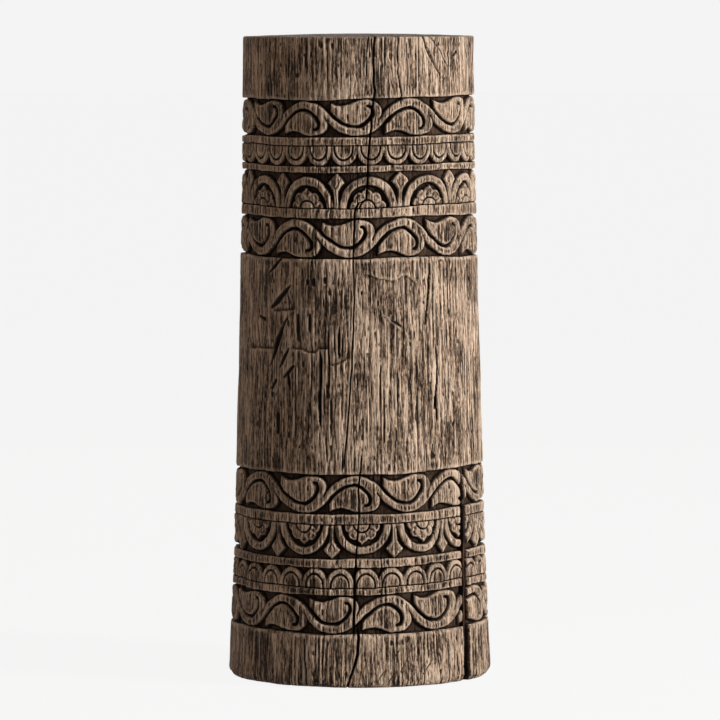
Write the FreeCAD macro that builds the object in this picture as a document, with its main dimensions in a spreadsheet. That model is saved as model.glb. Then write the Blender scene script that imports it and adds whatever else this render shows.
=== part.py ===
import FreeCAD, Part
import Sketcher
import math
import os

# A pedestal cut from one hardwood log and carved in two groups of bands, on four rubber feet.
# Millimetres. +Z is up, the origin is under the middle of the feet, and the front faces -Y.
# Azimuths are degrees round the log from the front, positive towards +X.

SIZES = {
    # the log
    "overall_height": 762.0,
    "top_radius": 136.0,
    "neck_radius": 139.9,
    "waist_radius": 146.6,
    "foot_radius": 155.9,
    "top_edge_chamfer": 2.0,
    "foot_edge_inset": 6.0,
    "foot_edge_height": 10.0,
    # the bands, from the foot up
    "foot_plain_height": 61.1,
    "foot_scroll_height": 44.3,
    "foot_fillet_height": 11.2,
    "foot_scallop_height": 22.2,
    "lower_fillet_height": 11.4,
    "lower_arch_height": 40.0,
    "waist_fillet_height": 11.6,
    "waist_scroll_height": 46.0,
    "shaft_plain_height": 252.3,
    "neck_scroll_height": 47.2,
    "neck_fillet_height": 12.2,
    "upper_arch_height": 39.8,
    "upper_fillet_height": 8.7,
    "top_scallop_height": 23.4,
    "top_fillet_height": 10.4,
    "top_scroll_height": 44.8,
    # the carving
    "carving_set_in": 1.8,
    "relief_depth": 5.0,
    "band_lip": 0.8,
    "scroll_repeats": 7.0,
    "arch_count": 12.0,
    "foot_scallop_count": 31.0,
    "top_scallop_count": 29.0,
    # the drying checks
    "front_check_width": 2.6,
    "front_check_depth": 14.0,
    "wide_check_azimuth": 55.0,
    "wide_check_mouth": 12.0,
    "wide_check_root": 5.0,
    "wide_check_depth": 34.0,
    "wide_check_straight": 200.0,
    "wide_check_height": 262.0,
    # the slip and the wedge in the wide check
    "slip_thickness": 3.0,
    "slip_height": 176.0,
    "slip_kerf_depth": 8.0,
    "slip_set_in": 3.0,
    "wedge_height": 26.0,
    "wedge_length": 24.0,
    "wedge_set_in": 2.0,
    "fit_clearance": 0.2,
    # the feet
    "foot_circle_radius": 92.0,
    "pad_width": 34.0,
    "pad_thickness": 6.0,
    "pad_stand": 2.0,
    "pad_recess_corner_width": 14.0,
    "pad_recess_depth": 4.0,
    "washer_corner_width": 11.4,
    "washer_thickness": 1.0,
    "screw_shank_diameter": 4.0,
    "screw_shank_length": 28.0,
    "screw_head_corner_width": 8.0,
    "screw_head_height": 2.0,
    "screw_hole_clearance": 0.4,
    "screw_point_space": 1.5,
}

FOOT_COUNT = 4
FOOT_NAMES = ("back_right", "back_left", "front_left", "front_right")
FIRST_FOOT_AZIMUTH = 135.0

FOOT_BANDS = (
    "foot_scroll_height",
    "foot_fillet_height",
    "foot_scallop_height",
    "lower_fillet_height",
    "lower_arch_height",
    "waist_fillet_height",
    "waist_scroll_height",
)
NECK_BANDS = (
    "neck_scroll_height",
    "neck_fillet_height",
    "upper_arch_height",
    "upper_fillet_height",
    "top_scallop_height",
    "top_fillet_height",
    "top_scroll_height",
)


class Measure:
    """A length held as its value and as the sheet expression that gives it."""

    def __init__(self, value, text):
        self.value = value
        self.text = text

    def __add__(self, other):
        return Measure(self.value + other.value, f"({self.text} + {other.text})")

    def __sub__(self, other):
        return Measure(self.value - other.value, f"({self.text} - {other.text})")

    def __mul__(self, other):
        return Measure(self.value * other.value, f"({self.text} * {other.text})")

    def __truediv__(self, other):
        return Measure(self.value / other.value, f"({self.text} / {other.text})")


def number(value):
    """A plain factor as a Measure."""
    return Measure(value, repr(value))


def make_sheet(document):
    """The spreadsheet of driving sizes."""
    sheet = document.addObject("Spreadsheet::Sheet", "sizes")
    for row, (alias, value) in enumerate(SIZES.items(), start=1):
        sheet.set(f"A{row}", alias.replace("_", " "))
        sheet.set(f"B{row}", str(value))
        sheet.setAlias(f"B{row}", alias)
    document.recompute()
    return sheet


document = FreeCAD.newDocument("carved_pedestal")
sheet = make_sheet(document)


def cell(alias):
    """The Measure of one cell of the sheet."""
    return Measure(float(getattr(sheet, alias)), f"sizes.{alias}")


def size(alias):
    """The value of one cell of the sheet."""
    return cell(alias).value


def total(aliases):
    """The sum of several cells."""
    result = number(0.0)
    for alias in aliases:
        result = result + cell(alias)
    return result


def waist_height():
    """Height of the top of the lower carving."""
    return total(("foot_plain_height",) + FOOT_BANDS)


def neck_height():
    """Height of the bottom of the upper carving."""
    return waist_height() + cell("shaft_plain_height")


def on_line(height, low, high):
    """Radius at a height on the straight flank between two (radius, height) stations."""
    low_radius, low_height = low
    high_radius, high_height = high
    share = (height - low_height) / (high_height - low_height)
    return low_radius + (high_radius - low_radius) * share


def log_radius(height):
    """Radius of the uncarved log, which narrows in three straight stretches."""
    foot = (cell("foot_radius"), number(0.0))
    waist = (cell("waist_radius"), waist_height())
    neck = (cell("neck_radius"), neck_height())
    top = (cell("top_radius"), cell("overall_height"))
    if height.value < waist[1].value:
        return on_line(height, foot, waist)
    if height.value < neck[1].value:
        return on_line(height, waist, neck)
    return on_line(height, neck, top)


def band_bottom(alias):
    """Height at which a band starts."""
    if alias in FOOT_BANDS:
        below = FOOT_BANDS[: FOOT_BANDS.index(alias)]
        return total(("foot_plain_height",) + below)
    return neck_height() + total(NECK_BANDS[: NECK_BANDS.index(alias)])


def origin_plane(body, role):
    """One of a body's own origin planes."""
    return next(item for item in body.Origin.OriginFeatures if item.Role == role)


def new_sketch(body, name, role):
    """A sketch on one of the body's origin planes."""
    sketch = body.newObject("Sketcher::SketchObject", name)
    sketch.AttachmentSupport = (origin_plane(body, role), [""])
    sketch.MapMode = "FlatFace"
    return sketch


def bind(sketch, index, name, measure):
    """Name a constraint and bind it to the sheet."""
    sketch.renameConstraint(index, name)
    sketch.setExpression(f"Constraints.{name}", measure.text)


def dimension(sketch, kind, geometry, vertex, measure, name):
    """Hold one vertex at a signed distance from the sketch's origin."""
    value = measure.value
    constraint = Sketcher.Constraint(kind, -1, 1, geometry, vertex, value)
    bind(sketch, sketch.addConstraint(constraint), name, measure)


def draw_polygon(sketch, points):
    """A closed polygon whose corners are pairs of Measures."""
    corners = [FreeCAD.Vector(across.value, along.value, 0) for across, along in points]
    for index, corner in enumerate(corners):
        following = corners[(index + 1) % len(corners)]
        sketch.addGeometry(Part.LineSegment(corner, following), False)
    for index, (across, along) in enumerate(points):
        following = (index + 1) % len(points)
        sketch.addConstraint(Sketcher.Constraint("Coincident", index, 2, following, 1))
        dimension(sketch, "DistanceX", index, 1, across, f"across_{index}")
        dimension(sketch, "DistanceY", index, 1, along, f"along_{index}")


def draw_square(sketch, across, along, width):
    """A square about a place given by Measures."""
    half = width / number(2.0)
    left, right = across - half, across + half
    low, high = along - half, along + half
    draw_polygon(sketch, [(left, low), (right, low), (right, high), (left, high)])


def draw_hexagon(sketch, corner_width):
    """A hexagon about the sketch's middle, of a width across its corners."""
    radius = corner_width / number(2.0)
    turns = [math.pi * index / 3 for index in range(6)]
    draw_polygon(sketch, [(radius * number(math.cos(turn)), radius * number(math.sin(turn)))
                          for turn in turns])


def draw_circle(sketch, across, along, diameter):
    """A circle at a place given by Measures."""
    centre = FreeCAD.Vector(across.value, along.value, 0)
    circle = Part.Circle(centre, FreeCAD.Vector(0, 0, 1), diameter.value / 2)
    index = sketch.addGeometry(circle, False)
    dimension(sketch, "DistanceX", index, 3, across, "across")
    dimension(sketch, "DistanceY", index, 3, along, "along")
    constraint = Sketcher.Constraint("Diameter", index, diameter.value)
    bind(sketch, sketch.addConstraint(constraint), "diameter", diameter)


def cut_pocket(body, name, sketch, depth):
    """A pocket that runs up from the sketch, which lies below the body."""
    feature = body.newObject("PartDesign::Pocket", name)
    feature.Profile = sketch
    feature.Reversed = True
    feature.Length = depth.value
    feature.setExpression("Length", depth.text)
    return feature


def add_pad(body, name, sketch, length):
    """A pad upwards from the sketch."""
    feature = body.newObject("PartDesign::Pad", name)
    feature.Profile = sketch
    feature.Length = length.value
    feature.setExpression("Length", length.text)
    return feature


def log_profile():
    """Corners of the turned blank: the foot, the cores of the two carved groups, the top."""
    underside = cell("pad_stand")
    foot_edge = underside + cell("foot_edge_height")
    foot_edge_radius = log_radius(foot_edge)
    points = [
        (number(0.0), underside),
        (foot_edge_radius - cell("foot_edge_inset"), underside),
        (foot_edge_radius, foot_edge),
    ]
    core_depth = cell("carving_set_in") + cell("relief_depth") + cell("relief_depth")
    for bands in (FOOT_BANDS, NECK_BANDS):
        bottom = band_bottom(bands[0])
        top = bottom + total(bands)
        points += [
            (log_radius(bottom), bottom),
            (log_radius(bottom) - core_depth, bottom),
            (log_radius(top) - core_depth, top),
            (log_radius(top), top),
        ]
    top = cell("overall_height")
    chamfer = cell("top_edge_chamfer")
    points += [
        (log_radius(top - chamfer), top - chamfer),
        (cell("top_radius") - chamfer, top),
        (number(0.0), top),
    ]
    return points


def make_blank():
    """The turned log: cores for the carved groups and sockets for the feet."""
    body = document.addObject("PartDesign::Body", "log_blank")
    profile = new_sketch(body, "log_profile", "XZ_Plane")
    draw_polygon(profile, log_profile())
    turned = body.newObject("PartDesign::Revolution", "turned_log")
    turned.Profile = profile
    turned.ReferenceAxis = (profile, ["V_Axis"])
    turned.Angle = 360.0

    diagonal = number(math.sqrt(0.5))
    across = cell("foot_circle_radius") * diagonal
    socket = new_sketch(body, "socket_outline", "XY_Plane")
    socket_width = cell("pad_width") + cell("fit_clearance") + cell("fit_clearance")
    draw_square(socket, across, across, socket_width)
    socket_cut = cut_pocket(body, "pad_socket", socket, cell("pad_thickness"))

    pilot = new_sketch(body, "pilot_circle", "XY_Plane")
    draw_circle(pilot, across, across, screw_hole_diameter())
    pilot_depth = screw_seat() + cell("screw_shank_length") + cell("screw_point_space")
    pilot_cut = cut_pocket(body, "pilot_hole", pilot, pilot_depth)

    pattern = body.newObject("PartDesign::PolarPattern", "socket_pattern")
    pattern.Originals = [socket_cut, pilot_cut]
    pattern.Axis = (socket, ["N_Axis"])
    pattern.Angle = 360.0
    pattern.Occurrences = FOOT_COUNT
    body.Tip = pattern
    return body


def screw_hole_diameter():
    """Diameter of the hole that clears the screw's shank."""
    return cell("screw_shank_diameter") + cell("screw_hole_clearance")


def screw_seat():
    """Height of the face under the screw's head, which is the washer's lower face."""
    return cell("pad_recess_depth") - cell("washer_thickness")


# Flats that the carver hewed round each group before drawing the bands on them.
HEWN_FLATS = 30


def hewn_ring(radius, height):
    """Corners of the hewn log at a height."""
    corners = []
    for index in range(HEWN_FLATS):
        angle = 2 * math.pi * index / HEWN_FLATS
        across, deep = radius * math.cos(angle), radius * math.sin(angle)
        corners.append(FreeCAD.Vector(across, deep, height))
    return corners


def polygon_face(corners):
    """A flat face from its corners."""
    return Part.Face(Part.makePolygon(corners + corners[:1]))


def hewn_log(set_in, bottom, height):
    """The log between two heights, hewn to flats and set in from its flank."""
    low_radius = log_radius(number(bottom)).value - set_in
    high_radius = log_radius(number(bottom + height)).value - set_in
    low = hewn_ring(low_radius, bottom)
    high = hewn_ring(high_radius, bottom + height)
    faces = [polygon_face(low), polygon_face(high)]
    for index in range(HEWN_FLATS):
        after = (index + 1) % HEWN_FLATS
        faces.append(polygon_face([low[index], low[after], high[after], high[index]]))
    return Part.makeSolid(Part.makeShell(faces))


# The scroll, drawn flat in millimetres on a field one half repeat wide and one band high.
# Its ribbon crests at the field's middle. A path is its start and then (end), a straight cut,
# or (middle, end), an arc that the gouge cuts in short strokes.
STROKE_ANGLE = 36.0
SCROLL_FIELD = (62.8, 45.0)
CURL_GROOVE = (
    (-50.0, 0.0),
    ((2.0, 0.0),),
    ((-14.0, 7.0), (-31.0, 3.0)),
    ((-24.0, 21.0), (-4.0, 32.0)),
    ((10.0, 27.0), (16.0, 17.5)),
    ((19.0, 19.0),),
    ((12.0, 30.0), (-4.0, 35.0)),
    ((-26.5, 23.5), (-37.5, 7.5)),
    ((-43.5, 2.8), (-50.0, 0.0)),
)
RIBBON_FORK = (
    (29.0, 24.0),
    ((28.0, 10.0), (19.0, 0.0)),
    ((56.0, 0.0),),
    ((39.0, 10.0), (29.0, 24.0)),
)

# The arch and its bud, drawn the same way about the arch's middle.
ARCH_FIELD = (73.2, 39.8)
ARCH_GAP = (
    (-25.5, 0.0),
    ((-19.5, 0.0),),
    ((0.0, 19.5), (19.5, 0.0)),
    ((25.5, 0.0),),
    ((0.0, 26.0), (-25.5, 0.0)),
)
ARCH_SPANDREL = (
    (34.4, 6.0),
    ((26.0, 22.5), (8.5, 32.5)),
    ((8.5, 39.8),),
    ((35.2, 39.8),),
    ((26.6, 27.0),),
    ((35.0, 9.0),),
    ((34.4, 6.0),),
)

# The dark notch between two scallops, drawn about the notch's middle.
SCALLOP_FIELD = (30.2, 23.4)
SCALLOP_NOTCH = (
    (-9.5, 0.0),
    ((9.5, 0.0),),
    ((0.0, 10.5),),
    ((-9.5, 0.0),),
)


def mirrored(path):
    """A path turned left for right."""
    start, *steps = path
    turned = [tuple((-across, along) for across, along in step) for step in steps]
    return ((-start[0], start[1]), *turned)


def flat(point):
    """A point of a drawing as a vector."""
    return FreeCAD.Vector(point[0], point[1], 0)


def path_corners(path):
    """The corners of a path, with each arc broken into the strokes that cut it."""
    corners = [flat(path[0])]
    for step in path[1:]:
        end = flat(step[-1])
        if len(step) == 2:
            arc = Part.Arc(corners[-1], flat(step[0]), end).toShape()
            sweep = math.degrees(arc.Length / arc.Curve.Radius)
            strokes = max(1, round(sweep / STROKE_ANGLE))
            corners += arc.discretize(Number=strokes + 1)[1:]
        else:
            corners.append(end)
    return corners[:-1]


class Band:
    """One carved band: where it lies and how a flat drawing wraps round it."""

    def __init__(self, alias, field, pitch_angle):
        self.bottom = band_bottom(alias).value
        self.height = size(alias)
        self.field = field
        self.pitch_angle = pitch_angle

    def surface(self, height):
        """Radius of the carved group's surface at a height."""
        return log_radius(number(height)).value - size("carving_set_in")

    def angle(self, across):
        """Angle round the log, in degrees, for a distance across the drawing."""
        return self.pitch_angle * across / self.field[0]

    def rise(self, along, flipped):
        """Height for a distance up the drawing, kept clear of the band's edges by a lip."""
        lip = size("band_lip")
        up = lip + along / self.field[1] * (self.height - 2 * lip)
        return self.bottom + (self.height - up if flipped else up)

    def core(self):
        """The log inside the ground of the carving."""
        depth = size("carving_set_in") + size("relief_depth")
        return hewn_log(depth, self.bottom, self.height)


def carving_cutter(band, path, flipped, follows_log):
    """The wood cut away inside one path, to a flat floor or to one that follows the log."""
    corners = path_corners(path)
    middle = sum(band.angle(corner.x) for corner in corners) / len(corners)
    radius = band.surface(band.bottom + band.height / 2)
    depth = size("relief_depth")

    def place(corner):
        turn = math.radians(band.angle(corner.x) - middle)
        height = band.rise(corner.y, flipped)
        return FreeCAD.Vector(radius * math.sin(turn), -(radius + depth), height)

    face = polygon_face([place(corner) for corner in corners])
    if follows_log:
        cutter = face.extrude(FreeCAD.Vector(0, radius / 2, 0)).cut(band.core())
    else:
        cutter = face.extrude(FreeCAD.Vector(0, 2 * depth, 0))
    cutter.rotate(FreeCAD.Vector(), FreeCAD.Vector(0, 0, 1), middle)
    return cutter


def round_the_log(cutters, count, first_azimuth):
    """Copies of the cutters, evenly spaced round the log."""
    copies = []
    for index in range(count):
        for cutter in cutters:
            copy = cutter.copy()
            turn = first_azimuth + 360.0 * index / count
            copy.rotate(FreeCAD.Vector(), FreeCAD.Vector(0, 0, 1), turn)
            copies.append(copy)
    return copies


def scroll_cutters(alias, crest_azimuth):
    """A running scroll: each half repeat is the last one turned upside down."""
    repeats = round(size("scroll_repeats"))
    band = Band(alias, SCROLL_FIELD, 180.0 / repeats)
    cutters = []
    for flipped in (False, True):
        motif = [
            carving_cutter(band, CURL_GROOVE, flipped, True),
            carving_cutter(band, RIBBON_FORK, flipped, False),
        ]
        start = crest_azimuth + (band.pitch_angle if flipped else 0.0)
        cutters += round_the_log(motif, repeats, start)
    return cutters


def arch_cutters(alias, arch_azimuth, flipped):
    """A row of arches with a bud between each two."""
    count = round(size("arch_count"))
    band = Band(alias, ARCH_FIELD, 360.0 / count)
    motif = [
        carving_cutter(band, ARCH_GAP, flipped, True),
        carving_cutter(band, ARCH_SPANDREL, flipped, False),
        carving_cutter(band, mirrored(ARCH_SPANDREL), flipped, False),
    ]
    return round_the_log(motif, count, arch_azimuth)


def scallop_cutters(alias, count_alias, notch_azimuth, flipped):
    """The notches along a row of scallops."""
    count = round(size(count_alias))
    band = Band(alias, SCALLOP_FIELD, 360.0 / count)
    notch = carving_cutter(band, SCALLOP_NOTCH, flipped, False)
    return round_the_log([notch], count, notch_azimuth)


def make_group(name, bands, cutters):
    """One carved group: the hewn log between its plain parts, less what the carver cut out."""
    bottom = band_bottom(bands[0]).value
    height = total(bands).value
    feature = document.addObject("Part::Feature", name)
    feature.Shape = hewn_log(size("carving_set_in"), bottom, height).cut(cutters)
    return feature


def make_foot_group():
    """The lower bands: scroll, scallops, hanging arches, scroll."""
    cutters = scroll_cutters("foot_scroll_height", 12.1)
    cutters += scallop_cutters("foot_scallop_height", "foot_scallop_count", 8.5, True)
    cutters += arch_cutters("lower_arch_height", 0.9, True)
    cutters += scroll_cutters("waist_scroll_height", -2.4)
    return make_group("foot_group", FOOT_BANDS, cutters)


def make_neck_group():
    """The upper bands: scroll, standing arches, scallops, scroll."""
    cutters = scroll_cutters("neck_scroll_height", 21.9)
    cutters += arch_cutters("upper_arch_height", 4.5, False)
    cutters += scallop_cutters("top_scallop_height", "top_scallop_count", -0.7, False)
    cutters += scroll_cutters("top_scroll_height", 26.2)
    return make_group("neck_group", NECK_BANDS, cutters)


# Courses of the narrow checks on the front: (across, share of the overall height) at each end.
FRONT_CHECKS = (
    ((20.0, 1.003), (10.4, 0.765)),
    ((-4.5, 0.742), (-7.5, 0.5)),
    ((-7.5, 0.5), (-18.7, 0.338)),
    ((3.3, 0.362), (-4.0, 0.2)),
    ((-4.0, 0.2), (-9.0, 0.05)),
)


def front_check_cutter(course):
    """A V-shaped split that runs straight down the front of the log."""
    heights = [share * size("overall_height") for across, share in course]
    start, end = [
        FreeCAD.Vector(across, -log_radius(number(height)).value, height)
        for (across, share), height in zip(course, heights)
    ]
    half = size("front_check_width")
    corners = [
        start + FreeCAD.Vector(-half, -1, 0),
        start + FreeCAD.Vector(half, -1, 0),
        start + FreeCAD.Vector(0, size("front_check_depth"), 0),
    ]
    return polygon_face(corners).extrude(end - start)


def check_root_radius():
    """Radius of the bottom of the wide check. Its mouth is at the foot's radius."""
    return cell("foot_radius") - cell("wide_check_depth")


def check_half_width(radius):
    """Half the width of the wide check at a radius: its walls close towards the root."""
    opening = cell("wide_check_mouth") - cell("wide_check_root")
    share = (radius - check_root_radius()) / cell("wide_check_depth")
    return (cell("wide_check_root") + opening * share) / number(2.0)


def slip_top():
    """Height of the slip's top end."""
    return slip_bottom() + cell("slip_height")


def slip_bottom():
    """Height of the slip's lower end, which stands on the wedge."""
    return cell("pad_stand") + cell("wedge_height") + cell("fit_clearance")


CHECK_MOUTH_OVERSHOOT = 3.0


def pyramid(base, apex):
    """A solid with flat sides from the corners of a base to an apex."""
    following = base[1:] + base[:1]
    sides = [polygon_face([low, high, apex]) for low, high in zip(base, following)]
    return Part.makeSolid(Part.makeShell(sides + [polygon_face(base)]))


def wide_check_cutter():
    """The wide check with the kerf for the slip at its root, at azimuth 0."""
    outer = cell("foot_radius") + number(CHECK_MOUTH_OVERSHOOT)
    root = check_root_radius()
    mouth_half = check_half_width(outer).value
    root_half = check_half_width(root).value
    top = size("wide_check_straight")
    bottom = size("pad_stand") - 1
    corners = [
        FreeCAD.Vector(-mouth_half, -outer.value, top),
        FreeCAD.Vector(mouth_half, -outer.value, top),
        FreeCAD.Vector(root_half, -root.value, top),
        FreeCAD.Vector(-root_half, -root.value, top),
    ]
    split = polygon_face(corners).extrude(FreeCAD.Vector(0, 0, bottom - top))
    tip = FreeCAD.Vector(0, -outer.value, size("wide_check_height"))
    split = split.fuse(pyramid(corners, tip))

    kerf_width = size("slip_thickness") + 2 * size("fit_clearance")
    kerf_length = size("slip_kerf_depth") + 1
    kerf_height = slip_top().value + size("fit_clearance") - size("pad_stand") + 1
    corner = FreeCAD.Vector(-kerf_width / 2, -(root.value + 1), size("pad_stand") - 1)
    kerf = Part.makeBox(kerf_width, kerf_length, kerf_height, corner)
    return split.fuse(kerf)


def make_checks():
    """The splits that the log opened as it dried."""
    wide = wide_check_cutter()
    wide.rotate(FreeCAD.Vector(), FreeCAD.Vector(0, 0, 1), size("wide_check_azimuth"))
    narrow = [front_check_cutter(course) for course in FRONT_CHECKS]
    feature = document.addObject("Part::Feature", "drying_checks")
    feature.Shape = wide.fuse(narrow)
    return feature


def cut_away(name, base, tool):
    """One object less another."""
    cut = document.addObject("Part::Cut", name)
    cut.Base = base
    cut.Tool = tool
    return cut


def make_trunk():
    """The carved log, which is one piece of wood."""
    carved = document.addObject("Part::MultiFuse", "carved_log")
    carved.Shapes = [make_blank(), make_foot_group(), make_neck_group()]
    return cut_away("trunk", carved, make_checks())


def turn_to_wide_check(body):
    """Turn a body made at azimuth 0 to face the wide check."""
    body.Placement = FreeCAD.Placement(
        FreeCAD.Vector(),
        FreeCAD.Rotation(FreeCAD.Vector(0, 0, 1), size("wide_check_azimuth")),
    )
    body.setExpression("Placement.Rotation.Angle", "sizes.wide_check_azimuth * 1 deg")


def make_slip():
    """The thin slip of wood that stands in the wide check, its back edge in the kerf."""
    body = document.addObject("PartDesign::Body", "check_slip")
    back = check_root_radius() - cell("slip_kerf_depth") + cell("fit_clearance")
    bottom, top = slip_bottom(), slip_top()
    set_in = cell("slip_set_in")
    less = number(-1.0)
    points = [
        (less * back, bottom),
        (less * (log_radius(bottom) - set_in), bottom),
        (less * (log_radius(top) - set_in), top),
        (less * back, top),
    ]
    sketch = new_sketch(body, "slip_side", "YZ_Plane")
    draw_polygon(sketch, points)
    pad = add_pad(body, "slip_board", sketch, cell("slip_thickness"))
    pad.Midplane = True
    turn_to_wide_check(body)
    return body


def make_wedge():
    """The wedge driven into the wide check at the foot."""
    body = document.addObject("PartDesign::Body", "check_wedge")
    outer = cell("foot_radius") - cell("foot_edge_inset") - cell("wedge_set_in")
    inner = outer - cell("wedge_length")
    outer_half = check_half_width(outer) - cell("fit_clearance")
    inner_half = check_half_width(inner) - cell("fit_clearance")
    less = number(-1.0)
    points = [
        (less * outer_half, less * outer),
        (outer_half, less * outer),
        (inner_half, less * inner),
        (less * inner_half, less * inner),
    ]
    sketch = new_sketch(body, "wedge_plan", "XY_Plane")
    draw_polygon(sketch, points)
    sketch.AttachmentOffset = FreeCAD.Placement(
        FreeCAD.Vector(0, 0, size("pad_stand")), FreeCAD.Rotation()
    )
    sketch.setExpression("AttachmentOffset.Base.z", "sizes.pad_stand")
    add_pad(body, "wedge_block", sketch, cell("wedge_height"))
    turn_to_wide_check(body)
    return body


def foot_place(index):
    """Where a foot stands, as a pair of Measures."""
    azimuth = math.radians(FIRST_FOOT_AZIMUTH + 360.0 * index / FOOT_COUNT)
    radius = cell("foot_circle_radius")
    return radius * number(math.sin(azimuth)), radius * number(-math.cos(azimuth))


def stand_at(item, index, height):
    """Place an object over one foot at a height."""
    across, deep = foot_place(index)
    place = FreeCAD.Vector(across.value, deep.value, height.value)
    item.Placement = FreeCAD.Placement(place, FreeCAD.Rotation())
    for axis, measure in zip("xyz", (across, deep, height)):
        item.setExpression(f"Placement.Base.{axis}", measure.text)


def make_pad(index):
    """One rubber foot, recessed underneath for its washer and screw."""
    body = document.addObject("PartDesign::Body", f"foot_pad_{FOOT_NAMES[index]}")
    outline = new_sketch(body, "pad_outline", "XY_Plane")
    draw_square(outline, number(0.0), number(0.0), cell("pad_width"))
    add_pad(body, "pad_block", outline, cell("pad_thickness"))
    recess = new_sketch(body, "recess_outline", "XY_Plane")
    draw_hexagon(recess, cell("pad_recess_corner_width"))
    cut_pocket(body, "recess", recess, cell("pad_recess_depth"))
    hole = new_sketch(body, "hole_outline", "XY_Plane")
    draw_circle(hole, number(0.0), number(0.0), screw_hole_diameter())
    body.Tip = cut_pocket(body, "screw_hole", hole, cell("pad_thickness"))
    stand_at(body, index, number(0.0))
    return body


def make_cylinder(name, index, diameter, bottom, length):
    """An upright cylinder over one foot."""
    cylinder = document.addObject("Part::Cylinder", name)
    radius = diameter / number(2.0)
    for key, measure in (("Radius", radius), ("Height", length)):
        setattr(cylinder, key, measure.value)
        cylinder.setExpression(key, measure.text)
    stand_at(cylinder, index, bottom)
    return cylinder


def make_prism(name, index, sides, corner_width, bottom, length):
    """An upright prism over one foot."""
    prism = document.addObject("Part::Prism", name)
    prism.Polygon = sides
    for key, measure in (("Circumradius", corner_width / number(2.0)), ("Height", length)):
        setattr(prism, key, measure.value)
        prism.setExpression(key, measure.text)
    stand_at(prism, index, bottom)
    return prism


def make_washer(index):
    """The square steel washer under one screw's head."""
    thickness, width = cell("washer_thickness"), cell("washer_corner_width")
    plate = make_prism("washer_plate", index, 4, width, screw_seat(), thickness)
    bore = make_cylinder("washer_bore", index, screw_hole_diameter(), screw_seat(), thickness)
    return cut_away("washer", plate, bore)


def make_screw(index):
    """The hexagon-head screw that holds one foot to the log."""
    head_height, width = cell("screw_head_height"), cell("screw_head_corner_width")
    head = make_prism("head", index, 6, width, screw_seat() - head_height, head_height)
    length = cell("screw_shank_length")
    shank = make_cylinder("shank", index, cell("screw_shank_diameter"), screw_seat(), length)
    screw = document.addObject("Part::Fuse", "screw")
    screw.Base = head
    screw.Tool = shank
    return screw


def make_set(name, maker):
    """The same small part at every foot, kept together as one node of separate solids."""
    group = document.addObject("Part::Compound", name)
    group.Links = [maker(index) for index in range(FOOT_COUNT)]
    return group


def make_nodes():
    """Every sub-part, each labelled with the name of its file."""
    nodes = [make_trunk(), make_slip(), make_wedge()]
    nodes += [make_pad(index) for index in range(FOOT_COUNT)]
    nodes += [make_set("foot_washers", make_washer), make_set("foot_screws", make_screw)]
    return nodes


def check_states():
    """Stop if any object of the document failed to build."""
    for item in document.Objects:
        if {"Invalid", "Error"} & set(item.State):
            raise RuntimeError(f"{item.Label} failed: {item.State}")


def check_shape(node):
    """Stop if a sub-part's shape is empty or broken."""
    if node.Shape.isNull() or not node.Shape.isValid():
        raise RuntimeError(f"{node.Label} has no valid shape")


nodes = make_nodes()
document.recompute()
check_states()
for node in nodes:
    check_shape(node)

os.makedirs("parts", exist_ok=True)
for node in nodes:
    node.Shape.exportStep(f"parts/{node.Label}.step")
    box = node.Shape.BoundBox
    print(
        f"{node.Label}: {len(node.Shape.Solids)} solids, {node.Shape.Volume:.1f} mm3,"
        f" {box.XLength:.2f} x {box.YLength:.2f} x {box.ZLength:.2f} mm"
    )
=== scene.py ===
"""Looks of a carved log pedestal stand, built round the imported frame."""
import logging
import math
from dataclasses import dataclass, field
from enum import Enum
from typing import Any, ClassVar, Sequence, Union

import bmesh
import bpy
import numpy as np
from mathutils import Matrix, Vector


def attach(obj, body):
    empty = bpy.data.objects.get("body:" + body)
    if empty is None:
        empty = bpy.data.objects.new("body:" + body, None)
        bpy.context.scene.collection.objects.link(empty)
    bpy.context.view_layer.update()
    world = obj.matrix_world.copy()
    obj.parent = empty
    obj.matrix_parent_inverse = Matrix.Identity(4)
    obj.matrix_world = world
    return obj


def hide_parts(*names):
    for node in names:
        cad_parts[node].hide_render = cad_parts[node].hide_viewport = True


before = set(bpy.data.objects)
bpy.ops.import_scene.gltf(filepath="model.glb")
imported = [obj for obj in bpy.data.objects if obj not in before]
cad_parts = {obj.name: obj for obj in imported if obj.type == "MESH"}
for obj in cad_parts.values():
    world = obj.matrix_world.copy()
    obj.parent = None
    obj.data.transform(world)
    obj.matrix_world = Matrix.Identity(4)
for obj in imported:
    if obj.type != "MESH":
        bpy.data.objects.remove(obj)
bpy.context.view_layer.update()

LOG = logging.getLogger("pedestal")
BODY = "root"

# The log's sizes that several classes share, in mm; azimuths are in degrees, 0 in front.
MM = 0.001
CROWN = 762.0
RIM = 759.0
UNDERSIDE = 2.0
TOP_RADIUS = 136.0
MEAN_RADIUS = 147.0
MM_PER_DEGREE = 2.55
WIDE_AZIMUTH = 55.0

Points = Sequence[tuple[float, float]]
Value = Union["Wire", float, tuple]


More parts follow.
